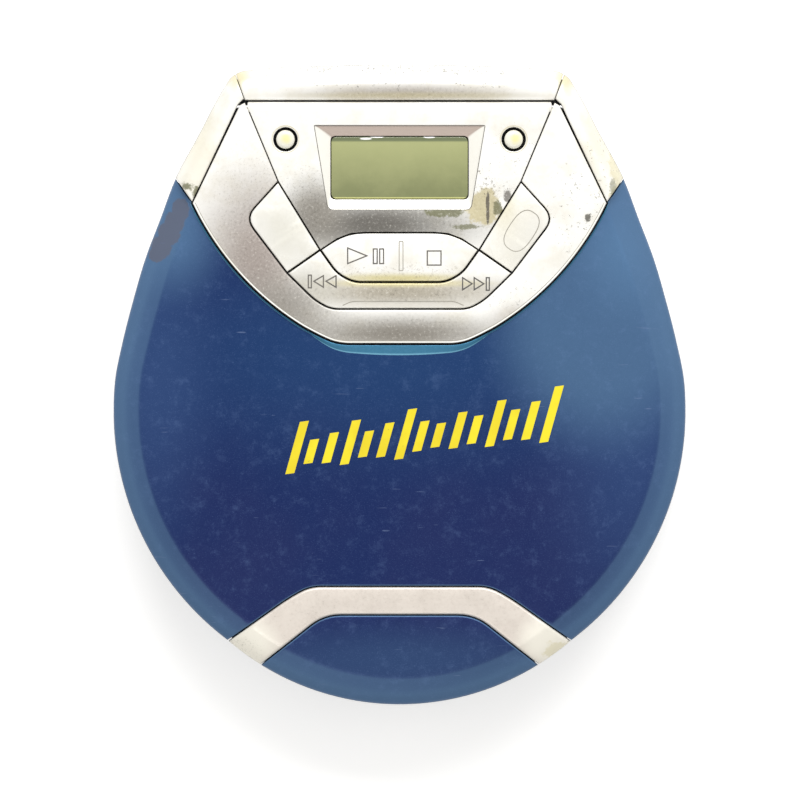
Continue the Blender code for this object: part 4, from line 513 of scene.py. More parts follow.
def nearest_loop(points, loops):
    """Distance of each point from the nearest vertex of the loops."""
    tree = KDTree(sum(len(loop) for loop in loops))
    i = 0
    for loop in loops:
        for x, y in loop:
            tree.insert((x, y, 0), i)
            i += 1
    tree.balance()
    return np.array([tree.find((x, y, 0))[2] for x, y in points])


def lathe(name, profile, centre, axis, sides, material, body):
    """Turned shape from a profile of (radius, distance along the axis)."""
    along = Vector(axis).normalized()
    across = along.orthogonal().normalized()
    third = along.cross(across)
    verts = []
    for radius, distance in profile:
        for i in range(sides):
            angle = math.tau * i / sides
            verts.append(Vector(centre) + along * distance
                         + across * (radius * math.cos(angle)) + third * (radius * math.sin(angle)))
    faces = []
    for row in range(len(profile) - 1):
        for i in range(sides):
            j = (i + 1) % sides
            faces.append((row * sides + i, row * sides + j,
                          (row + 1) * sides + j, (row + 1) * sides + i))
    faces.append(tuple(range(sides)))
    faces.append(tuple(range((len(profile) - 1) * sides, len(profile) * sides)))
    return mesh_piece(name, verts, faces, material, body)


# Surface heights

lid_profile = np.array(hermite(
    [(0, -1.25 * BEVEL_DROP), (0.06 * BEVEL_WIDTH, -0.95 * BEVEL_DROP),
     (0.2 * BEVEL_WIDTH, -0.75 * BEVEL_DROP), (0.95 * BEVEL_WIDTH, -0.10 * BEVEL_DROP)],
    (0, 1), (0.91, 0.41), 6) + [(1.03 * BEVEL_WIDTH, -0.045 * BEVEL_DROP),
                               (1.12 * BEVEL_WIDTH, -0.02 * BEVEL_DROP),
                               (1.25 * BEVEL_WIDTH, 0)])
bar_profile = np.array(hermite(
    [(0, -BAR_SLOPE_DROP), (0.08 * BAR_SLOPE_WIDTH, -0.7 * BAR_SLOPE_DROP),
     (0.35 * BAR_SLOPE_WIDTH, -0.28 * BAR_SLOPE_DROP), (BAR_SLOPE_WIDTH, 0)],
    (0, 1), (1, 0), 6))


def lid_height(points):
    inset = np.maximum(body_inset(points), 0)
    return LID_TOP + np.interp(inset, lid_profile[:, 0], lid_profile[:, 1])


def bar_height(points):
    inset = np.maximum(body_inset(points), 0)
    return PANEL_TOP + np.interp(inset, bar_profile[:, 0], bar_profile[:, 1])


def shell_skirt(height, wall, skin):
    """Side rows of a shell whose outer wall reaches down to the lid's lower edge."""
    def rows(points):
        outer = body_inset(points) < wall
        level = np.where(outer, LID_BOTTOM, height(points) - skin)
        return [(0, level), (wall / 2, level), (wall, np.maximum(level, INNER_ROOF))]
    return rows


def plate_skirt(bottom):
    """Straight sides down to a level, kept above the hinge pins at the rear."""
    def rows(points):
        over_pins = points[:, 1] > HINGE_Y - HINGE_RADIUS - GAP
        pins_top = HINGE_Z + PIN_ROOM
        return [(0, np.where(over_pins & (bottom < pins_top), pins_top, bottom))]
    return rows


def flat(level):
    def height(points):
        return np.full(len(points), level)
    return height


def wing_height(points):
    """The control panel's flat top, rounded down where it turns with the hinge."""
    behind = np.clip(points[:, 1] - HINGE_Y, 0, WING_SWING)
    return np.minimum(PANEL_TOP, HINGE_Z + np.sqrt(WING_SWING ** 2 - behind ** 2))


# Plan lines of the lid's pieces


def on_panel(share):
    return (share[0] * PANEL_HALF_WIDTH, PANEL_REAR_Y - share[1] * PANEL_DEPTH)


def rounded_corner(before, corner, after, radius, steps=6):
    corner = Vector(corner)
    start = corner + (Vector(before) - corner).normalized() * radius
    end = corner + (Vector(after) - corner).normalized() * radius
    return bend(start, corner, end, steps)


def rounded_loop(corners, radii):
    line = []
    for i, corner in enumerate(corners):
        line += rounded_corner(corners[i - 1], corner, corners[(i + 1) % 4], radii[i])
    return line


def softened(line, radius):
    """Open line whose inner corners are rounded."""
    result = [line[0]]
    for i in range(1, len(line) - 1):
        span = min(radius, (Vector(line[i]) - Vector(line[i - 1])).length * 0.45,
                   (Vector(line[i + 1]) - Vector(line[i])).length * 0.45)
        result += rounded_corner(line[i - 1], line[i], line[i + 1], span)
    return result + [line[-1]]


def bend(start, corner, end, steps=6):
    """Smooth curve from start to end that heads for the corner first."""
    a, b, c = Vector(start), Vector(corner), Vector(end)
    shares = [i / steps for i in range(steps + 1)]
    return [tuple(a * (1 - t) ** 2 + b * (2 * t * (1 - t)) + c * t ** 2) for t in shares]


def panel_outer_half():
    corner, front = Vector(on_panel(arc_end_shares)), Vector(on_panel(panel_front_shares))
    half_way = (corner + front) / 2
    arc = arc_between(on_panel(horn_shares), tuple(corner), PANEL_ARC_BULGE, 30)
    edge = [on_panel(panel_start_shares)]
    edge += [p for p in arc if (Vector(p) - corner).length > PANEL_ROUND]
    edge += bend(edge[-1], corner, half_way, 10)[1:]
    level = front - Vector(((front - half_way).length, 0))
    return edge + bend(half_way, front, level)[1:]


def panel_edge():
    half = panel_outer_half()
    rear = [(0, PANEL_REAR_Y), on_panel(trapezoid_back_shares)]
    return tidied(grown(two_sided(rear + half + [(0, half[-1][1])]), 0))


def skip_front_half():
    return softened([on_panel(key_end_shares)] + [on_panel(s) for s in skip_front_shares]
                    + [(0, on_panel(skip_front_shares[-1])[1])], 2.0 * MM)


def trapezoid_half():
    return [on_panel(trapezoid_back_shares), on_panel(trapezoid_bend_shares),
            on_panel(trapezoid_front_shares)] + [on_panel(s) for s in rocker_back_shares]


def panel_opening():
    """Edge of the opening in the control panel, which the keys and the display fill."""
    half = [on_panel(trapezoid_back_shares), on_panel(trapezoid_bend_shares)]
    half += list(reversed(rounded_corner(on_panel(key_end_shares), on_panel(key_corner_shares),
                                         on_panel(trapezoid_bend_shares), KEY_CORNER_RADIUS)))
    half += skip_front_half()[:-1]
    rear = (half[0][0], PANEL_REAR_Y + OVERRUN)
    return two_sided([rear] + half)


def lid_field():
    """Plan line round the lid: the body without the three silver bars."""
    outer = on_panel(horn_outer_shares)
    reach = outer[0] + LID_RADIUS
    return two_sided([(0, PANEL_REAR_Y), on_panel(trapezoid_back_shares),
                      on_panel(panel_start_shares), on_panel(horn_shares), outer,
                      (reach, outer[1] + LID_RADIUS / 2), (reach, -REAR_Y - OVERRUN),
                      (0, -REAR_Y - OVERRUN)])


def arch_line(drop):
    """The arch's rear edge moved forward by a distance, closed far in front of the lid."""
    foot_y = ARCH_FOOT_SETBACK - REAR_Y
    top_y = ARCH_TOP_SETBACK - REAR_Y
    foot_x = math.sqrt(LID_RADIUS ** 2 - (foot_y - CENTRE_Y) ** 2)
    knee_x = foot_x * arch_knee_share
    shoulder_x = foot_x * arch_shoulder_share
    slope = (top_y - foot_y) / (foot_x - knee_x)
    shoulder_drop = slope * (shoulder_x - knee_x) * arch_shoulder_drop_share
    end_drop = slope * BEVEL_WIDTH * arch_end_drop_share
    edge = [(knee_x, top_y), (shoulder_x, top_y - shoulder_drop),
            (foot_x + BEVEL_WIDTH, foot_y - end_drop)]
    far = (edge[-1][0], -REAR_Y - LID_RADIUS)
    whole = softened([(0, top_y)] + edge, ARCH_CORNER)[1:] + [far]
    return grown(two_sided(whole), -drop)


def arch_front_line(drop):
    """The arch's front edge moved forward by a distance; its arms are wider than its top."""
    top_y = ARCH_TOP_SETBACK - REAR_Y - ARCH_BAND
    reach = LID_RADIUS - ARCH_FRONT_KNEE
    whole = softened([(0, top_y), (ARCH_FRONT_KNEE, top_y),
                      (LID_RADIUS, top_y - reach * arch_front_slope_share)], ARCH_FRONT_ROUND)
    return grown(two_sided(whole[1:] + [(LID_RADIUS, -REAR_Y - LID_RADIUS)]), -drop)


def bar_field(side):
    """Plan line that one side bar fills, from its mitre with the rear bar to its lower end."""
    start, horn, outer = (Vector(on_panel(s)) for s in
                          (panel_start_shares, horn_shares, horn_outer_shares))
    slope = (start - horn).normalized()
    across = Vector((slope.y, -slope.x)) * BAR_GAP
    away = (outer - horn).normalized()
    back = Vector((-away.y, away.x)) * BAR_GAP
    end_inner = horn + across + back
    end_outer = end_inner + away * BEVEL_WIDTH * 2
    mitre_in = Vector((on_panel(trapezoid_back_shares)[0] + GAP, BAR_FRONT_Y + GAP))
    reach = REAR_BAR_DEPTH * bar_mitre_reach_share
    mitre_out = mitre_in + Vector((reach * mitre_lean_share, reach))
    far = (LID_RADIUS, mitre_out.y)
    points = [start + across, end_inner, end_outer, far, mitre_out, mitre_in]
    return [(side * x, y) for x, y in (tuple(p) for p in points)]


def rear_bar_field():
    mitre_in = (on_panel(trapezoid_back_shares)[0], BAR_FRONT_Y)
    reach = REAR_BAR_DEPTH * bar_mitre_reach_share
    return two_sided([mitre_in, (mitre_in[0] + reach * mitre_lean_share, mitre_in[1] + reach)])


def lens_line(margin):
    half = LENS_HALF + margin
    corners = [(half, LENS_REAR + margin), (half, LENS_FRONT - margin),
               (-half, LENS_FRONT - margin), (-half, LENS_REAR + margin)]
    return rounded_loop(corners, [LENS_CORNER] * 4)


def bezel_line():
    """Outer edge of the sloped recess round the display, with as many points as the window."""
    rear, front = LENS_REAR + BEZEL_MARGIN, LENS_FRONT - BEZEL_MARGIN
    back_half, front_half = LENS_HALF + BEZEL_BACK_FLARE, LENS_HALF + BEZEL_FRONT_FLARE
    corners = [(back_half, rear), (front_half, front), (-front_half, front), (-back_half, rear)]
    return rounded_loop(corners, (BEZEL_REAR_ROUND, LENS_CORNER, LENS_CORNER, BEZEL_REAR_ROUND))


def circle(centre, radius, sides=48):
    return [(centre[0] + radius * math.cos(math.tau * i / sides),
             centre[1] + radius * math.sin(math.tau * i / sides)) for i in range(sides)]


def middle_of(node):
    corner_a, corner_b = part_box(node)
    return (corner_a + corner_b) / 2


# Places read from the picture


def seen(points):
    """Plan places of marks from their picture positions, in picture steps."""
    return [((x - PICTURE_X) * PICTURE_STEP, (PICTURE_Y - y) * PICTURE_STEP) for x, y in points]


# Colours as seen, in steps of 255
BLUE_DEEP = (20, 40, 92)
BLUE_VIOLET = (30, 42, 92)
BLUE_REAR = (28, 62, 110)
BLUE_SIDE = (48, 74, 122)
LIT_SLOPE_BLUE = (86, 118, 154)
BLUE_SHEEN = (76, 108, 144)
BLUE_PALE = (86, 122, 160)
BLUE_FRONT = (46, 70, 112)
TEAL = (62, 124, 156)
TEAL_FOOT_HIGHLIGHT = (120, 178, 204)
BLUE_FLAKE = (120, 150, 200)
SCUFF = (112, 130, 168)
BLUE_RIM = (112, 118, 142)
RUBBED = (98, 103, 120)
SILVER_LIGHT = (250, 249, 245)
SILVER_WARM = (240, 237, 228)
MAUVE = (186, 170, 160)
GREY_SILVER_SHADE = (142, 137, 129)
DEEP_SILVER_SHADE = (112, 109, 104)
SKIP_SILVER_SHADE = (176, 169, 154)
PINK_SILVER_SHADE = (166, 156, 150)
DARK_SPECK = (96, 94, 84)
SILVER_SPECK = (124, 118, 106)
YELLOWED = (214, 204, 150)
WHITE = (255, 255, 255)
CAP_YELLOW_AND_HIGHLIGHT = (236, 228, 150)
BROWN_GREY = (150, 140, 128)
BROWN_DEEP = (96, 90, 82)
RIM_WEAR = (128, 126, 108)
CORNER_STAIN = (226, 216, 176)
OLIVE_STAIN = (118, 118, 88)
BARE_TAN = (204, 194, 158)
OLIVE_LOW = (128, 133, 92)
OLIVE_HIGH = (164, 168, 118)
OLIVE_HAZE = (176, 178, 128)
OLIVE_SHADE = (92, 102, 76)
OLIVE_EDGE = (214, 214, 140)

# The four soft panel zones are painted shade and reflection, darker on the panel's left and along
# its front.
panel_zones = [
    ((258, 258, 56, 84), PINK_SILVER_SHADE, 1.0, "soft"),
    ((290, 310, 56, 36), GREY_SILVER_SHADE, 0.8, "soft"),
    ((400, 334, 110, 20), GREY_SILVER_SHADE, 1.0, "soft"),
    ((520, 318, 30, 14), PINK_SILVER_SHADE, 0.5, "soft"),
    ((580, 210, 40, 46), DARK_SPECK, 0.85, "flecks"),
    ((586, 219, 3, 4), DARK_SPECK, 0.9, "ragged"),
    ((535, 300, 60, 16), DARK_SPECK, 0.7, "flecks"),
    ((606, 190, 6, 10), CORNER_STAIN, 0.6, "ragged"),
    ((250, 200, 40, 60), SILVER_SPECK, 0.3, "specks"),
]
# The two soft display zones are painted shade and reflection, darker towards the plate's front and
# its left.
display_zones = [
    ((374, 225, 104, 30), DEEP_SILVER_SHADE, 1.0, "soft"),
    ((316, 214, 30, 36), GREY_SILVER_SHADE, 0.9, "soft"),
    ((306, 200, 26, 34), DARK_SPECK, 0.5, "specks"),
    ((400, 226, 90, 16), DARK_SPECK, 0.4, "specks"),
    ((482, 210, 20, 19), BARE_TAN, 0.95, "ragged"),
    ((447, 214, 20, 5), OLIVE_STAIN, 0.9, "ragged"),
    ((470, 228, 16, 3), OLIVE_STAIN, 0.8, "ragged"),
    ((487, 212, 1.5, 15), BROWN_DEEP, 0.9, "ragged"),
    ((497, 209, 5, 8), OLIVE_STAIN, 0.85, "ragged"),
    ((506, 198, 4, 7), BROWN_DEEP, 0.8, "ragged"),
    ((490, 190, 20, 9), BROWN_DEEP, 0.9, "specks"),
    ((484, 176, 12, 16), BROWN_DEEP, 0.8, "flecks"),
    ((512, 150, 30, 30), DARK_SPECK, 0.5, "flecks"),
]
bar_zones = [
    # The first two soft zones, brownish along the rear bar's front edge, are painted shade and
    # reflection where the bar rounds down towards the gap.
    ((405, 95, 105, 9), BROWN_GREY, 0.75, "soft"),
    ((410, 98, 120, 4), (186, 176, 140), 0.7, "soft"),
    ((400, 71, 150, 8), BROWN_DEEP, 0.85, "specks"),
    ((390, 80, 150, 16), DARK_SPECK, 0.8, "flecks"),
    ((240, 79, 12, 12), CORNER_STAIN, 0.9, "soft"),
    ((565, 80, 13, 13), CORNER_STAIN, 0.9, "soft"),
    ((617, 150, 10, 60), YELLOWED, 0.5, "ragged"),
    ((600, 130, 22, 60), CORNER_STAIN, 0.4, "soft"),
    ((200, 150, 22, 60), CORNER_STAIN, 0.35, "soft"),
    ((606, 150, 24, 46), BROWN_DEEP, 0.8, "flecks"),
    ((190, 188, 7, 5), OLIVE_STAIN, 0.9, "ragged"),
    ((199, 194, 5, 7), OLIVE_STAIN, 0.9, "ragged"),
    ((611, 186, 4, 8), OLIVE_STAIN, 0.6, "ragged"),
]
rocker_zones = [
    ((400, 279, 80, 5), YELLOWED, 0.95, "soft"),
    ((400, 274, 80, 10), BROWN_GREY, 0.5, "specks"),
    ((500, 268, 40, 40), YELLOWED, 0.25, "soft"),
]
# The first skip zone, which darkens the key, is painted shade and reflection.
skip_zones = [
    ((400, 292, 110, 16), SKIP_SILVER_SHADE, 1.0, "soft"),
    ((400, 284, 80, 4), YELLOWED, 0.85, "soft"),
    ((306, 288, 36, 24), (206, 203, 192), 0.8, "soft"),
    ((400, 306, 60, 3), (226, 222, 212), 0.8, "soft"),
]
side_key_zones = [
    ((505, 215, 12, 22), YELLOWED, 0.7, "soft"),
    ((286, 232, 34, 44), (226, 224, 214), 0.8, "soft"),
    ((512, 238, 34, 44), (236, 233, 222), 0.8, "soft"),
]
arch_zones = [
    ((240, 645, 40, 34), (246, 242, 230), 1.0, "wide"),
    ((556, 640, 40, 30), (252, 248, 236), 1.0, "wide"),
    ((560, 650, 16, 10), YELLOWED, 0.4, "ragged"),
    ((236, 648, 26, 14), DARK_SPECK, 0.35, "specks"),
]
# The lid zones are partly the paint's own colour shift and partly painted light: lighter towards
# the sides and the corners by the horns, with a painted sheen on the right.
lid_zones = [
    ((400, 350, 300, 110), BLUE_REAR, 0.9, "soft"),
    ((640, 430, 90, 170), BLUE_SIDE, 0.7, "soft"),
    ((150, 380, 60, 150), BLUE_SIDE, 0.7, "soft"),
    ((172, 230, 50, 60), BLUE_PALE, 0.75, "soft"),
    ((600, 318, 108, 128), BLUE_SHEEN, 0.85, "wide"),
    ((628, 236, 50, 70), BLUE_PALE, 0.8, "soft"),
    ((400, 660, 170, 36), BLUE_FRONT, 0.9, "soft"),
]
# Painted glints on the display's top edge, in picture places.
glint_spots = [(366, 140.5, 6, 1.1), (377, 138.8, 7, 0.9), (429, 138.8, 6, 1.2),
               (439, 137.6, 5, 0.9)]
rubbed_spots = [(182, 211, 9, 11), (176, 223, 10, 11), (170, 235, 11, 12), (163, 247, 10, 12),
                (158, 255, 8, 7)]


# Material nodes


def srgb(red, green, blue):
    """Scene colour of a colour given in steps of 255 as seen on screen."""
    return tuple(math.pow((value / 255 + 0.055) / 1.055, 2.4) if value > 10 else value / 3294.6
                 for value in (red, green, blue)) + (1.0,)


def put(tree, kind, inputs=None, **settings):
    """New node with its settings made and its inputs set or linked."""
    item = tree.nodes.new(kind)
    for key, value in settings.items():
        setattr(item, key, value)
    for key, value in (inputs or {}).items():
        if isinstance(value, bpy.types.NodeSocket):
            tree.links.new(value, item.inputs[key])
        else:
            item.inputs[key].default_value = value
    return item


def start_material(name):
    material = bpy.data.materials.new(name)
    material.use_nodes = True
    tree = material.node_tree
    place = tree.nodes.new("ShaderNodeTexCoord").outputs["Object"]
    return material, tree, place, tree.nodes["Principled BSDF"]


def noise(tree, place, scale, detail=4.0, rough=0.6):
    """Noise whose scale is in bumps over a metre."""
    return put(tree, "ShaderNodeTexNoise", {"Vector": place, "Scale": scale, "Detail": detail,
                                            "Roughness": rough}).outputs["Fac"]


def ramp(tree, value, low_edge, high_edge, low_value=0.0, high_value=1.0):
    return put(tree, "ShaderNodeMapRange",
               {"Value": value, "From Min": low_edge, "From Max": high_edge,
                "To Min": low_value, "To Max": high_value},
               interpolation_type="SMOOTHSTEP").outputs["Result"]


def product(tree, a, b):
    return put(tree, "ShaderNodeMath", {0: a, 1: b}, operation="MULTIPLY").outputs[0]


def mix(tree, share, a, b, kind="MIX"):
    return put(tree, "ShaderNodeMixRGB", {"Fac": share, "Color1": a, "Color2": b},
               blend_type=kind).outputs["Color"]


def laid(tree, base, share, weight, colour):
    """Colour laid over another by a share and a weight."""
    return mix(tree, product(tree, share, weight), base, srgb(*colour))


def part(tree, vector, axis):
    return put(tree, "ShaderNodeSeparateXYZ", {"Vector": vector}).outputs[axis]


def rim_band(tree, level, rim):
    """Share of a narrow band round the height of a rim."""
    return product(tree, ramp(tree, level, rim + 0.9 * MM, rim + 0.3 * MM),
                   ramp(tree, level, rim - 0.9 * MM, rim - 0.4 * MM))


def surface(tree, shader, base, fine, rough_low, rough_high, metallic=0.0):
    """Colour, uneven gloss and metallic share of a finish."""
    tree.links.new(base, shader.inputs["Base Color"])
    tree.links.new(ramp(tree, fine, 0.3, 0.7, rough_low, rough_high), shader.inputs["Roughness"])
    shader.inputs["Metallic"].default_value = metallic


def bump(tree, shader, height, strength, distance):
    step = put(tree, "ShaderNodeBump", {"Height": height, "Strength": strength,
                                        "Distance": distance})
    tree.links.new(step.outputs["Normal"], shader.inputs["Normal"])


def plain_finish(name, colour, second, rough, metallic=0.0, grain=900, depth=0.02, specks=None):
    """Moulded or plated finish: two close colours, uneven gloss, fine grain and some wear."""
    material, tree, place, shader = start_material(name)
    broad = ramp(tree, noise(tree, place, grain / 12), 0.35, 0.65)
    fine = noise(tree, place, grain, 6)
    base = mix(tree, broad, srgb(*colour), srgb(*second))
    if specks:
        worn = ramp(tree, noise(tree, place, grain * 0.6, 8, 0.75), 0.66, 0.72)
        base = mix(tree, worn, base, srgb(*specks))
    surface(tree, shader, base, fine, rough - 0.06, rough + 0.08, metallic)
    bump(tree, shader, fine, 0.25, depth * MM)
    return material


def lid_paint():
    """Metallic blue paint: zones partly its own colour shift and partly painted light, painted
    light that makes the slopes and the raised shoulder lighter, a painted highlight along the
    shoulder's foot, mottled, scuffed, with fine pale scratches.
    """
    material, tree, place, shader = start_material("lid_paint")
    broad = ramp(tree, noise(tree, place, 22, 3), 0.3, 0.7)
    base = mix(tree, broad, srgb(*BLUE_DEEP), srgb(*BLUE_VIOLET))
    base = shade_zones(tree, place, base, lid_zones)
    # Painted light: faces that tilt away from flat, found from the surface's facing, are made
    # lighter.
    facing = put(tree, "ShaderNodeTexCoord").outputs["Normal"]
    up = part(tree, facing, "Z")
    slope = ramp(tree, up, 0.995, 0.86)
    base = laid(tree, base, slope, 0.8, LIT_SLOPE_BLUE)
    # Painted light on the raised shoulder round the panel: teal where it rises above the lid's top,
    # and a painted highlight along its foot.
    level = part(tree, place, "Z")
    shoulder = ramp(tree, level, LID_TOP + 0.02 * MM, LID_TOP + 0.06 * MM)
    base = laid(tree, base, shoulder, 0.9, TEAL)
    foot = product(tree, shoulder, ramp(tree, level, LID_TOP + 0.2 * MM, LID_TOP + 0.1 * MM))
    base = laid(tree, base, foot, 0.8, TEAL_FOOT_HIGHLIGHT)
    flake = ramp(tree, noise(tree, place, 4200, 2, 0.8), 0.56, 0.72)
    base = laid(tree, base, flake, 0.16, BLUE_FLAKE)
    rim = LID_TOP - 1.25 * BEVEL_DROP
    edge = rim_band(tree, level, rim)
    base = laid(tree, base, edge, 0.5, BLUE_RIM)
    scuff = ramp(tree, noise(tree, place, 800, 9, 0.8), 0.65, 0.69)
    base = laid(tree, base, scuff, 0.35, SCUFF)
    cloud = ramp(tree, noise(tree, place, 300, 8, 0.8), 0.5, 0.72)
    base = laid(tree, base, cloud, 0.12, BLUE_FLAKE)
    dulled = None
    for spot in rubbed_spots:
        share = patch(tree, place, spot, 0.16, 500, 1.15, 0.95)
        dulled = mix(tree, share, dulled, (1, 1, 1, 1)) if dulled else share
    base = laid(tree, base, dulled, 0.85, RUBBED)
    line = scratches(tree, place, 0.35, 1.0)
    base = laid(tree, base, line, 0.4, SCUFF)
    for turn, spread in ((1.0, 90), (-0.5, 110), (0.1, 70)):
        nick = scratches(tree, place, turn, 1.0, spread)
        base = laid(tree, base, nick, 0.5, SCUFF)
    fine = noise(tree, place, 1600, 6)
    surface(tree, shader, base, fine, 0.34, 0.46, 0.25)
    shader.inputs["Specular IOR Level"].default_value = 0.2
    bump(tree, shader, mix(tree, 0.3, fine, line), 0.2, 0.02 * MM)
    return material


def scratches(tree, place, turn, weight, spread=24):
    """Sparse thin marks that run one way, broken up by a second pattern."""
    mapping = put(tree, "ShaderNodeMapping", {"Vector": place, "Rotation": (0, 0, turn),
                                              "Scale": (spread, 1300, spread)})
    long = ramp(tree, noise(tree, mapping.outputs["Vector"], 1.0, 2, 0.5), 0.735, 0.75)
    gate = ramp(tree, noise(tree, place, 60, 3), 0.5, 0.62)
    return product(tree, product(tree, long, gate), weight)


def patch(tree, place, spot, ragged=0.5, scale=260, outer=1.15, inner=0.75):
    """Share of a patch round a picture place (x, y, half width, half height), used for stains and
    rubbed spots and for painted shade, sheen, highlights and glints.
    """
    (x, y), = seen([spot[:2]])
    half_x, half_y = spot[2] * PICTURE_STEP, spot[3] * PICTURE_STEP
    moved_place = put(tree, "ShaderNodeMapping",
                      {"Vector": place, "Location": (-x / half_x, -y / half_y, 0),
                       "Scale": (1 / half_x, 1 / half_y, 0)}).outputs["Vector"]
    span = put(tree, "ShaderNodeVectorMath", {0: moved_place}, operation="LENGTH").outputs["Value"]
    if ragged:
        rough = noise(tree, place, scale, 8, 0.75)
        spread = put(tree, "ShaderNodeMath", {0: rough, 1: 0.5}, operation="SUBTRACT").outputs[0]
        span = put(tree, "ShaderNodeMath", {0: spread, 1: ragged * 6, 2: span},
                   operation="MULTIPLY_ADD").outputs[0]
    return ramp(tree, span, outer, inner)


def shade_zones(tree, place, base, zones):
    """Colour over which each zone is laid: soft, wide, ragged, flecked or speckled; the zones hold
    stains and dirt as well as painted shade, reflection and sheen.
    """
    for spot, colour, weight, kind in zones:
        if kind == "soft":
            share = patch(tree, place, spot, 0, outer=1.5, inner=0.1)
        elif kind == "wide":
            share = patch(tree, place, spot, 0, outer=1.25, inner=0.5)
        elif kind == "flecks":
            flecks = ramp(tree, noise(tree, place, 1150, 7, 0.75), 0.6, 0.625)
            share = product(tree, patch(tree, place, spot, 0.2, outer=1.3, inner=0.5), flecks)
        elif kind == "ragged":
            share = patch(tree, place, spot)
        else:
            specks = ramp(tree, noise(tree, place, 1700, 8, 0.8), 0.54, 0.6)
            share = product(tree, patch(tree, place, spot, 0.3, outer=1.5, inner=0.3), specks)
        base = laid(tree, base, share, weight, colour)
    return base


def silver_paint(name, light=SILVER_LIGHT, warm=SILVER_WARM, zones=(), rim=None):
    """Worn silver paint over plastic: zones of stains and of painted shade and reflection, mottled
    where they are darker, and a rubbed lower rim.
    """
    material, tree, place, shader = start_material(name)
    broad = ramp(tree, noise(tree, place, 160, 5), 0.4, 0.7)
    base = mix(tree, broad, srgb(*light), srgb(*warm))
    base = shade_zones(tree, place, base, zones)
    # The mottle is laid where the zones made the colour darker, which is in painted shade and
    # reflection and in stains.
    tone = put(tree, "ShaderNodeRGBToBW", {"Color": base}).outputs["Val"]
    shade_and_stain_share = ramp(tree, tone, 0.86, 0.4)
    mottle = noise(tree, place, 1500, 8, 0.85)
    dark, pale = ramp(tree, mottle, 0.47, 0.36), ramp(tree, mottle, 0.54, 0.66)
    base = laid(tree, base, product(tree, dark, shade_and_stain_share), 0.5, BROWN_DEEP)
    base = laid(tree, base, product(tree, pale, shade_and_stain_share), 0.6, SILVER_WARM)
    if rim:
        level = part(tree, place, "Z")
        worn = rim_band(tree, level, rim)
        base = laid(tree, base, worn, 0.85, RIM_WEAR)
    rubbed = ramp(tree, noise(tree, place, 1900, 9, 0.8), 0.63, 0.68)
    where = ramp(tree, noise(tree, place, 110, 4), 0.5, 0.66)
    base = laid(tree, base, product(tree, rubbed, where), 0.55, SILVER_SPECK)
    line = scratches(tree, place, -0.5, 1.0)
    base = laid(tree, base, line, 0.3, SILVER_SPECK)
    fine = noise(tree, place, 1500, 6)
    surface(tree, shader, base, fine, 0.3, 0.42, 0.2)
    bump(tree, shader, fine, 0.2, 0.02 * MM)
    return material


def bezel_paint():
    """Silver of the display's recess, whose rear slope stands in shade."""
    material, tree, place, shader = start_material("bezel_paint")
    facing = put(tree, "ShaderNodeTexCoord").outputs["Normal"]
    back = part(tree, facing, "Y")
    shade = ramp(tree, back, -0.08, -0.2)
    base = mix(tree, shade, srgb(250, 248, 240), srgb(*MAUVE))
    fine = noise(tree, place, 900, 5)
    base = laid(tree, base, fine, 0.12, BROWN_GREY)
    tree.links.new(base, shader.inputs["Base Color"])
    shader.inputs["Roughness"].default_value = 0.35
    shader.inputs["Metallic"].default_value = 0.2
    bump(tree, shader, fine, 0.15, 0.02 * MM)
    return material


def cap_plastic():
    """Cream push caps, yellower towards each middle: partly the translucent plastic, partly a
    painted highlight.
    """
    material, tree, place, shader = start_material("cap_plastic")
    fine = noise(tree, place, 1200, 4)
    base = mix(tree, product(tree, fine, 0.3), srgb(238, 236, 224), srgb(222, 216, 200))
    for x, y in ((287, 140), (514.5, 140)):
        # Partly the plastic's yellow tint, partly a painted highlight in each cap's middle.
        warm = patch(tree, place, (x, y, 6, 6.5), 0.12, 900, 1.3, 0.2)
        base = laid(tree, base, warm, 0.75, CAP_YELLOW_AND_HIGHLIGHT)
    tree.links.new(base, shader.inputs["Base Color"])
    shader.inputs["Roughness"].default_value = 0.3
    bump(tree, shader, fine, 0.1, 0.02 * MM)
    return material


def display_glass():
    """Olive display: painted shade towards its front and along its rear edge, a painted highlight
    along its front edge, painted glints, faint segments' haze and a glossy face.
    """
    material, tree, place, shader = start_material("display_glass")
    # Painted shade: darker towards the front; the rear band is a painted shadow, the front line a
    # painted highlight.
    y = part(tree, place, "Y")
    front_shade = ramp(tree, y, LENS_FRONT, LENS_REAR)
    base = mix(tree, front_shade, srgb(*OLIVE_LOW), srgb(*OLIVE_HIGH))
    haze = ramp(tree, noise(tree, place, 130, 5), 0.35, 0.7)
    base = laid(tree, base, haze, 0.25, OLIVE_HAZE)
    shade = ramp(tree, y, LENS_REAR - 1.5 * MM, LENS_REAR - 0.9 * MM)
    base = laid(tree, base, shade, 0.85, OLIVE_SHADE)
    lit = ramp(tree, y, LENS_FRONT + 0.55 * MM, LENS_FRONT + 0.4 * MM)
    base = laid(tree, base, lit, 0.8, OLIVE_EDGE)
    for spot in glint_spots:
        glint = patch(tree, place, spot, 0)
        base = laid(tree, base, glint, 0.9, WHITE)
    tree.links.new(base, shader.inputs["Base Color"])
    tree.links.new(ramp(tree, noise(tree, place, 700, 4), 0.3, 0.7, 0.08, 0.2),
                   shader.inputs["Roughness"])
    shader.inputs["Coat Weight"].default_value = 0.3
    bump(tree, shader, noise(tree, place, 90, 3), 0.1, 0.05 * MM)
    return material


# Paints and plastics

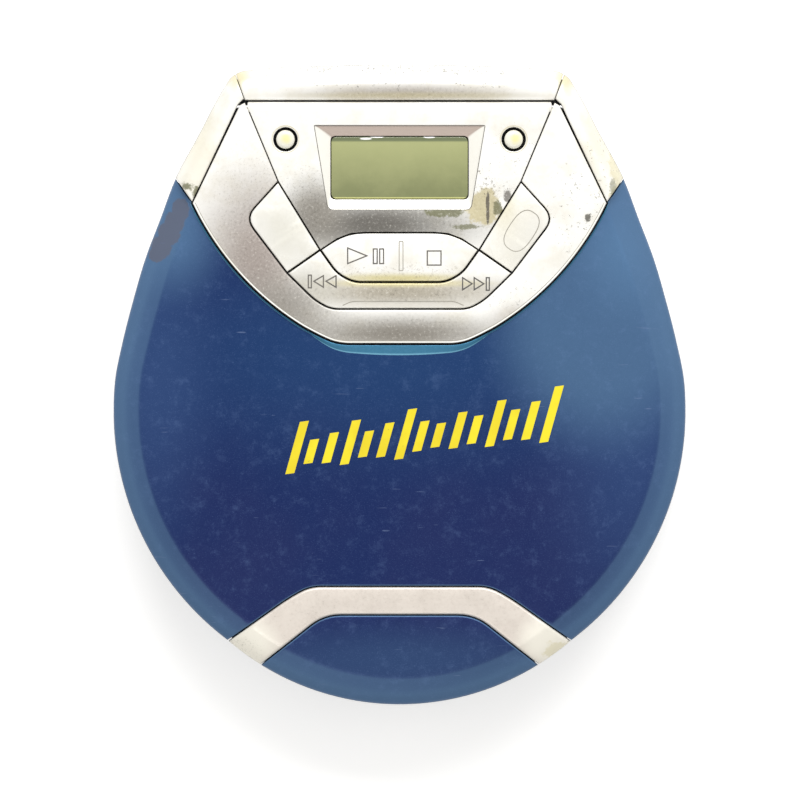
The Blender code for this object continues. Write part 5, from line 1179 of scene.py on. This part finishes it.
SILVER = silver_paint("silver_paint")
SILVER_PANEL = silver_paint("panel_silver_paint", zones=panel_zones)
SILVER_DISPLAY = silver_paint("display_silver_paint", zones=display_zones)
SILVER_BARS = silver_paint("bar_silver_paint", zones=bar_zones,
                           rim=PANEL_TOP - BAR_SLOPE_DROP)
SILVER_ROCKER = silver_paint("rocker_silver_paint", zones=rocker_zones)
SILVER_SKIP = silver_paint("skip_silver_paint", zones=skip_zones)
SILVER_KEYS = silver_paint("key_silver_paint", zones=side_key_zones)
SILVER_ARCH = silver_paint("arch_silver_paint", (225, 216, 207), (216, 207, 198), arch_zones)
BEZEL = bezel_paint()
PAINT = lid_paint()
GLASS = display_glass()
CREAM = cap_plastic()
INK = plain_finish("engraved_ink", (84, 82, 80), (110, 106, 100), 0.55)
FAINT_INK = plain_finish("faint_line", (150, 146, 136), (170, 166, 156), 0.5)
RIM_HIGHLIGHT = plain_finish("rim_highlight", (250, 250, 246), (240, 238, 228), 0.3)
RIM_CREAM = plain_finish("cream_rim", (206, 198, 172), (222, 216, 196), 0.4)
DARK_GAP = plain_finish("dark_plastic", (26, 26, 30), (38, 38, 42), 0.5)
YELLOW = plain_finish("yellow_print", (238, 222, 30), (226, 204, 20), 0.5, specks=(90, 90, 80))
CASE = plain_finish("case_plastic", (44, 56, 92), (36, 46, 80), 0.42, specks=(70, 80, 110))


# Lid and bars

extra_lid = np.concatenate([body_ring(inset * MM) for inset in lid_ring_insets])
grid = np.array([(x * TOP_GRID, y * TOP_GRID) for x in range(-13, 14) for y in range(-15, 16)])
grid = grid[body_inset(grid) > 8.4 * MM]
extra_lid = np.concatenate([extra_lid, grid])

PANEL_EDGE = panel_edge()
COLLAR_LINE = grown(PANEL_EDGE, GAP)


def shoulder_width(x):
    """Width of the raised shoulder, from the panel's edge, at a distance from the middle."""
    reach = np.clip(1 - (np.asarray(x) / SHOULDER_HALF) ** 2, 0, 1) ** 0.85
    return SIDE_SHOULDER + (FRONT_SHOULDER - SIDE_SHOULDER) * reach


def shell_height(points):
    """The lid's surface with the raised shoulder round the control panel."""
    away = from_line(points, PANEL_EDGE)
    width = shoulder_width(points[:, 0])
    share = np.clip((width - away) / (width - GAP), 0, 1)
    return lid_height(points) + COLLAR_RISE * share


def shoulder_points():
    """Points along the shoulder's foot and its slope, from which the lid's mesh is made."""
    edge = anticlockwise(PANEL_EDGE)
    out = (moved(edge, -MM) - edge) / MM
    edge, out = edge[edge[:, 1] < WING_REAR], out[edge[:, 1] < WING_REAR]
    width = shoulder_width(edge[:, 0])[:, None]
    return np.concatenate([edge + out * (GAP + (width - GAP) * share)
                           for share in shoulder_shares])


def lid_piece(name, loops, edge, material, height=lid_height, extra=extra_lid):
    return relief(name, loops, height, shell_skirt(lid_height, LID_WALL, LID_SKIN), extra,
                  edge, material, "lid")


def make_lid():
    loops = region([BODY, lid_field()], [COLLAR_LINE, arch_line(-GAP / 2)],
                   HINGE_Y - HINGE_RADIUS)
    item = lid_piece("lid_skin", loops, EDGE, PAINT, shell_height,
                     np.concatenate([extra_lid, shoulder_points()]))
    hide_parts("lid_shell")


def make_arch():
    loops = region([BODY, arch_line(GAP / 2)], [arch_front_line(-GAP / 2)])
    item = lid_piece("arch_band", loops, ARCH_EDGE, SILVER_ARCH)
    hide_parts("arch_trim")


def make_crescent():
    loops = region([BODY, arch_front_line(GAP / 2)])
    item = lid_piece("crescent_skin", loops, EDGE, PAINT)
    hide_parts("front_crescent")
    rear_y = -REAR_Y + CATCH_SETBACK
    soft_box("catch_tab", (-CATCH_WIDTH / 2, rear_y, high("open_button").z + CATCH_LIFT),
             (CATCH_WIDTH / 2, rear_y + CATCH_THICKNESS, LID_TOP - LID_SKIN - CATCH_LIFT),
             PAINT, "lid")


def make_bars():
    rings = np.concatenate([body_ring(inset * MM) for inset in bar_ring_insets])
    for name, field in (("left_side_bar", bar_field(-1)), ("right_side_bar", bar_field(1)),
                        ("rear_bar", rear_bar_field())):
        item = relief(name + "_skin", region([BODY, field]), bar_height,
                      shell_skirt(bar_height, BAR_WALL, BAR_WALL), rings, EDGE, SILVER_BARS,
                      "housing")
        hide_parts(name)


make_lid()
make_arch()
make_crescent()
make_bars()


# Control panel, display and keys


def plate(name, loops, top, bottom, edge, material, body):
    return relief(name, loops, flat(top), plate_skirt(bottom), [], edge, material, body)


def make_panel():
    opening = grown(panel_opening(), GAP / 2)
    item = relief("panel_skin", region([grown(PANEL_EDGE, -GAP / 2)], [opening], WING_REAR),
                  wing_height, plate_skirt(PANEL_BOTTOM), [], EDGE, SILVER_PANEL, "lid")
    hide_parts("control_panel")


def make_display():
    field = grown(two_sided(trapezoid_half()), -SEAM / 2)
    bezel = bezel_line()
    holes = [circle(tuple(middle_of(node).xy), ROUND_HOLE)
             for node in ("left_round_button", "right_round_button")]
    item = plate("display_plate", region([field], [bezel], HINGE_Y + GAP, holes),
                 PANEL_TOP, PANEL_BOTTOM, EDGE / 2, SILVER_DISPLAY, "lid")
    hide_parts("display_panel")
    half = on_panel(trapezoid_back_shares)[0] - BARREL_SETBACK
    end = [(PIN_BORE, PIN_DEPTH), (PIN_BORE, 0), (HINGE_RADIUS * 0.85, 0),
           (HINGE_RADIUS, 0.2 * MM)]
    other = [(radius, half * 2 - distance) for radius, distance in reversed(end)]
    lathe("hinge_barrel", end + other, (-half, HINGE_Y, HINGE_Z), (1, 0, 0), 40,
          SILVER_DISPLAY, "lid")
    levels = [(bezel, PANEL_TOP - 0.12 * MM), (lens_line(GAP), LENS_TOP),
              (lens_line(GAP / 3), LENS_TOP - 0.1 * MM), (lens_line(GAP / 3), PANEL_BOTTOM)]
    verts = [(x, y, z) for line, z in levels for x, y in line]
    count = len(bezel)
    faces = [(r * count + i, r * count + (i + 1) % count,
              (r + 1) * count + (i + 1) % count, (r + 1) * count + i)
             for r in range(len(levels) - 1) for i in range(count)]
    mesh_piece("bezel_slopes", verts, faces, BEZEL, "lid", 25)
    lens = plate("display_window", [tidied(anticlockwise(lens_line(-SEAM / 2)))], LENS_TOP,
                 PANEL_BOTTOM, EDGE / 2, GLASS, "lid")
    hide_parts("display_lens")


def key(name, node, outline, body, material):
    """Flat key whose rim is rounded, over its CAD node."""
    line = tidied(grown(outline, -KEY_SEAM / 2))
    item = plate(name, [line], KEY_TOP, PANEL_BOTTOM, EDGE, material, body)
    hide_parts(node)


def make_keys():
    corner = rounded_corner(on_panel(trapezoid_bend_shares), on_panel(key_corner_shares),
                            on_panel(key_end_shares), KEY_CORNER_RADIUS)
    points = [on_panel(trapezoid_bend_shares)] + corner
    points += [on_panel(key_end_shares), on_panel(trapezoid_front_shares)]
    key("left_key_cap", "left_key", [(-x, y) for x, y in points], "left_key", SILVER_KEYS)
    key("right_key_cap", "right_key", points, "right_key", SILVER_KEYS)
    back = [on_panel(trapezoid_front_shares)] + [on_panel(s) for s in rocker_back_shares]
    front = [on_panel(s) for s in reversed(rocker_front_shares)]
    middle_back = (0, back[-1][1])
    middle_front = (0, front[0][1])
    rear_half = softened(back + [middle_back], 3 * MM)
    front_half = softened([middle_front] + front + [back[0]], 2.5 * MM)
    rocker = two_sided(front_half[:-1] + rear_half)
    key("play_stop_cap", "play_stop_key", rocker, "play_stop_key", SILVER_ROCKER)
    inner = front_half[:-1] + [back[0]]
    outer = skip_front_half()
    key("skip_cap", "skip_key", two_sided(inner + outer), "skip_key", SILVER_SKIP)
    for side, node in (("left", "left_round_button"), ("right", "right_round_button")):
        centre = middle_of(node)
        radius = (high(node).x - centre.x) * cap_share
        profile = [(radius, STEM_BOTTOM - BUTTON_TOP), (radius, -CAP_SKIRT)]
        for i in range(CAP_STEPS + 1):
            share = i / CAP_STEPS
            angle = math.pi / 2 * share
            profile.append((radius * (cap_dome_share * math.cos(angle)
                                      + (1 - cap_dome_share) * (1 - share)),
                            CAP_DOME * math.sin(angle) - CAP_DOME))
        profile[-1] = (radius * cap_tip_share, 0)
        item = lathe(side + "_round_cap", profile, (centre.x, centre.y, BUTTON_TOP), (0, 0, 1), 48,
                     CREAM, side + "_round_button")
        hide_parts(node)


make_panel()
make_display()
make_keys()


# Marks on the keys and the lid


def ribbon(name, lines, width, level, material, body, closed=True):
    """Thin inlaid lines: each plan line becomes a flat strip with a little depth."""
    verts = []
    faces = []
    for line in lines:
        line = [Vector(p) for p in line]
        count = len(line)
        for i, here in enumerate(line):
            back = line[i - 1] if closed or i else here * 2 - line[1]
            ahead = line[(i + 1) % count] if closed or i < count - 1 else here * 2 - line[i - 1]
            a, b = (here - back).normalized(), (ahead - here).normalized()
            bisector = Vector((-a.y - b.y, a.x + b.x))
            side = bisector * (width / max(bisector.length_squared, MITRE_LIMIT))
            for spot in (here + side, here - side):
                verts.append((spot.x, spot.y, level))
                verts.append((spot.x, spot.y, level - INLAY))
        base = len(verts) - count * 4
        for i in range(count if closed else count - 1):
            p, q = base + i * 4, base + (i + 1) % count * 4
            faces += [(p, p + 2, q + 2, q), (p, q, q + 1, p + 1), (p + 2, p + 3, q + 3, q + 2),
                      (p + 1, q + 1, q + 3, p + 3)]
        if not closed:
            last = base + (count - 1) * 4
            faces += [(base, base + 1, base + 3, base + 2), (last, last + 2, last + 3, last + 1)]
    return mesh_piece(name, verts, faces, material, body, 30)


def make_marks():
    level = KEY_TOP + PRINT_HEIGHT
    ribbon("play_mark", [seen([(348, 249), (348, 264.5), (367, 256.8)]),
                         seen([(373.5, 250), (377.3, 250), (377.3, 264.5), (373.5, 264.5)]),
                         seen([(379.8, 250), (383.6, 250), (383.6, 264.5), (379.8, 264.5)]),
                         seen([(427, 252), (440.6, 252), (440.6, 266), (427, 266)])],
           LINE_WIDTH, level, INK, "play_stop_key")
    divider = softened(seen([(401, 242.5), (402.9, 242.5), (402.9, 271.5), (401, 271.5)]), MM / 4)
    other = softened(seen([(401, 271.5), (399.1, 271.5), (399.1, 242.5), (401, 242.5)]), MM / 4)
    ribbon("rocker_divider", [divider + other[1:-1]], FINE_LINE, level, FAINT_INK,
           "play_stop_key")
    ribbon("skip_marks", [seen([(309, 276), (312, 276), (312, 288.5), (309, 288.5)]),
                          seen([(324, 276.5), (324, 288), (314.5, 282)]),
                          seen([(336.5, 276.5), (336.5, 288), (326.5, 282)]),
                          seen([(462, 278.5), (462, 290.5), (471.5, 284.5)]),
                          seen([(473.5, 278.5), (473.5, 290.5), (483, 284.5)]),
                          seen([(485.5, 278.5), (488.5, 278.5), (488.5, 291), (485.5, 291)])],
           LINE_WIDTH, level, INK, "skip_key")
    ribbon("skip_step", [softened(seen([(343, 306), (352, 302), (454, 302), (463, 306)]), MM)],
           FINE_LINE, level, FAINT_INK, "skip_key", closed=False)
    ring = stadium(seen([(520.5, 232)])[0], 5.1 * MM, 3.0 * MM, math.radians(-34))
    ribbon("right_key_oval", [ring], FINE_LINE, level, FAINT_INK, "right_key")
    rim = panel_outer_half()
    around = np.array(rim + [(-x, y) for x, y in reversed(rim)])
    # The pale line along the panel's rounded rim is a painted highlight.
    ribbon("panel_rim_highlight", [moved(around, -RIM_SETBACK)[1:-1]], RIM_LINE, PANEL_TOP + PRINT_HEIGHT,
           RIM_HIGHLIGHT, "lid", closed=False)
    ribbon("panel_groove", [moved(around, -GROOVE_SETBACK)[1:-1]], GROOVE_LINE,
           PANEL_TOP + PRINT_HEIGHT / 2, FAINT_INK, "lid", closed=False)
    for side in ("left", "right"):
        centre = tuple(middle_of(side + "_round_button").xy)
        ribbon(side + "_button_rim", [circle(centre, ROUND_HOLE + BUTTON_RIM * 1.2)], BUTTON_RIM,
               PANEL_TOP + PRINT_HEIGHT / 2, RIM_CREAM, "lid")
    ribbon("bezel_groove", [grown(bezel_line(), 0)], GROOVE_LINE, PANEL_TOP + PRINT_HEIGHT / 2,
           INK, "lid")


def stadium(centre, half_long, half_short, turn, sides=48):
    """Rounded long outline, fuller at its corners than an ellipse."""
    line = []
    for i in range(sides):
        angle = math.tau * i / sides
        x = half_short * math.copysign(abs(math.cos(angle)) ** 0.75, math.cos(angle))
        y = half_long * math.copysign(abs(math.sin(angle)) ** 0.75, math.sin(angle))
        line.append((centre[0] + x * math.cos(turn) - y * math.sin(turn),
                     centre[1] + x * math.sin(turn) + y * math.cos(turn)))
    return line


def make_motif():
    """Generic yellow sound bars, slanted, across the lid."""
    top = LID_TOP + PRINT_HEIGHT
    verts = []
    faces = []
    for i, height in enumerate(motif_heights):
        x, y = MOTIF_LEFT + i * MOTIF_STEP, MOTIF_BASE - i * MOTIF_RISE
        lean, foot, head = (height * share for share in
                            (motif_lean_share, motif_foot_share, motif_head_share))
        corners = seen([(x, y + foot), (x + MOTIF_BAR, y + foot - MOTIF_BAR_RISE),
                        (x + MOTIF_BAR + lean, y - head - MOTIF_BAR_RISE), (x + lean, y - head)])
        base = len(verts)
        verts += [(cx, cy, z) for z in (top, top - INLAY) for cx, cy in corners]
        faces += [(base, base + 1, base + 2, base + 3), (base + 7, base + 6, base + 5, base + 4)]
        faces += [(base + k, base + 4 + k, base + 4 + (k + 1) % 4, base + (k + 1) % 4)
                  for k in range(4)]
    mesh_piece("lid_motif", verts, faces, YELLOW, "lid", 30)


make_marks()
make_motif()


# Pieces that stay as the frame has them: finish, soft edges

finishes = {
    "case_blue": CASE,
    "deck_grey": plain_finish("deck_plastic", (104, 106, 112), (92, 94, 102), 0.5),
    "cover_grey": plain_finish("cover_plastic", (118, 121, 130), (108, 110, 118), 0.5),
    "rubber_black": plain_finish("black_rubber", (34, 34, 34), (46, 46, 44), 0.8, depth=0.06),
    "rubber_grey": plain_finish("grey_rubber", (60, 60, 60), (52, 52, 52), 0.8),
    "steel": plain_finish("steel", (200, 200, 202), (182, 184, 188), 0.3, 1.0),
    "brass": plain_finish("brass", (214, 180, 110), (196, 160, 92), 0.32, 1.0),
    "board_green": plain_finish("green_board", (44, 104, 66), (36, 88, 56), 0.45),
    "gear_white": plain_finish("white_plastic", (226, 226, 220), (212, 212, 206), 0.45),
    "black_plastic": DARK_GAP,
    "laser_glass": plain_finish("laser_glass", (96, 110, 190), (120, 90, 180), 0.08),
    "panel_silver": SILVER, "lid_blue": PAINT, "button_cream": CREAM, "lens_olive": GLASS,
}


def smooth_tree():
    """Modifier that shades faces smooth, except across edges sharper than a limit."""
    tree = bpy.data.node_groups.new("smooth_by_angle", "GeometryNodeTree")
    for way in ("INPUT", "OUTPUT"):
        tree.interface.new_socket("Geometry", in_out=way, socket_type="NodeSocketGeometry")
    nodes = [tree.nodes.new(kind) for kind in
             ("NodeGroupInput", "GeometryNodeSetShadeSmooth", "GeometryNodeSetShadeSmooth",
              "NodeGroupOutput")]
    for before, after in zip(nodes, nodes[1:]):
        tree.links.new(before.outputs[0], after.inputs[0])
    sharp = nodes[2]
    sharp.domain = "EDGE"
    sharp.inputs["Shade Smooth"].default_value = False
    angle = tree.nodes.new("GeometryNodeInputMeshEdgeAngle").outputs["Unsigned Angle"]
    above = tree.nodes.new("FunctionNodeCompare")
    above.operation = "GREATER_THAN"
    above.inputs[1].default_value = math.radians(SHADE_ANGLE)
    tree.links.new(angle, above.inputs[0])
    tree.links.new(above.outputs[0], sharp.inputs["Selection"])
    return tree


SMOOTH = smooth_tree()


def soften(item):
    step = item.modifiers.new("soft_edges", "BEVEL")
    step.width = SOFT_EDGE
    step.segments = 2
    step.limit_method = "ANGLE"
    step.angle_limit = math.radians(BEVEL_ANGLE)
    shading = item.modifiers.new("smooth_by_angle", "NODES")
    shading.node_group = SMOOTH


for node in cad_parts.values():
    if node.hide_render:
        continue
    old = node.data.materials[0].name.split(".")[0] if node.data.materials else "deck_grey"
    node.data.materials.clear()
    node.data.materials.append(finishes.get(old, DARK_GAP))
    soften(node)


# Stage, light and camera


def make_stage():
    bpy.ops.mesh.primitive_plane_add(size=6, location=(0, 0, 0))
    floor = bpy.context.object
    floor.name = "floor"
    material, tree, place, shader = start_material("floor_paper")
    shader.inputs["Base Color"].default_value = (0.86, 0.86, 0.855, 1)
    shader.inputs["Roughness"].default_value = 0.9
    shader.inputs["Specular IOR Level"].default_value = 0.0
    seen_ray = tree.nodes.new("ShaderNodeLightPath").outputs["Is Camera Ray"]
    shader.inputs["Emission Color"].default_value = (1, 1, 1, 1)
    tree.links.new(product(tree, seen_ray, FLOOR_LIFT), shader.inputs["Emission Strength"])
    floor.data.materials.append(material)


def lamp(name, place, target, size, power):
    data = bpy.data.lights.new(name, "AREA")
    data.shape = "RECTANGLE"
    data.size, data.size_y = size
    data.energy = power
    item = bpy.data.objects.new(name, data)
    item.location = place
    item.rotation_euler = (Vector(target) - Vector(place)).to_track_quat("-Z", "Y").to_euler()
    bpy.context.scene.collection.objects.link(item)


def make_light():
    world = bpy.data.worlds.new("studio")
    bpy.context.scene.world = world
    world.use_nodes = True
    back = world.node_tree.nodes["Background"]
    back.inputs["Color"].default_value = (0.98, 0.965, 0.93, 1)
    back.inputs["Strength"].default_value = 0.55
    lamp("rear_light", (0.1, 0.75, 0.75), (0, 0, 0), (0.9, 0.5), 10)
    lamp("front_light", (-0.2, -0.6, 0.9), (0, 0, 0), (0.8, 0.5), 2)


def make_camera():
    data = bpy.data.cameras.new("camera")
    data.sensor_width = SENSOR_WIDTH
    data.lens = FOCAL_LENGTH
    data.clip_start = 0.01
    data.clip_end = 20
    item = bpy.data.objects.new("camera", data)
    reach = VIEW_WIDTH * data.lens / data.sensor_width
    item.location = (VIEW_X, VIEW_Y, LID_TOP + reach)
    bpy.context.scene.collection.objects.link(item)
    bpy.context.scene.camera = item


make_stage()
make_light()
make_camera()
bpy.context.scene.view_settings.view_transform = "Standard"
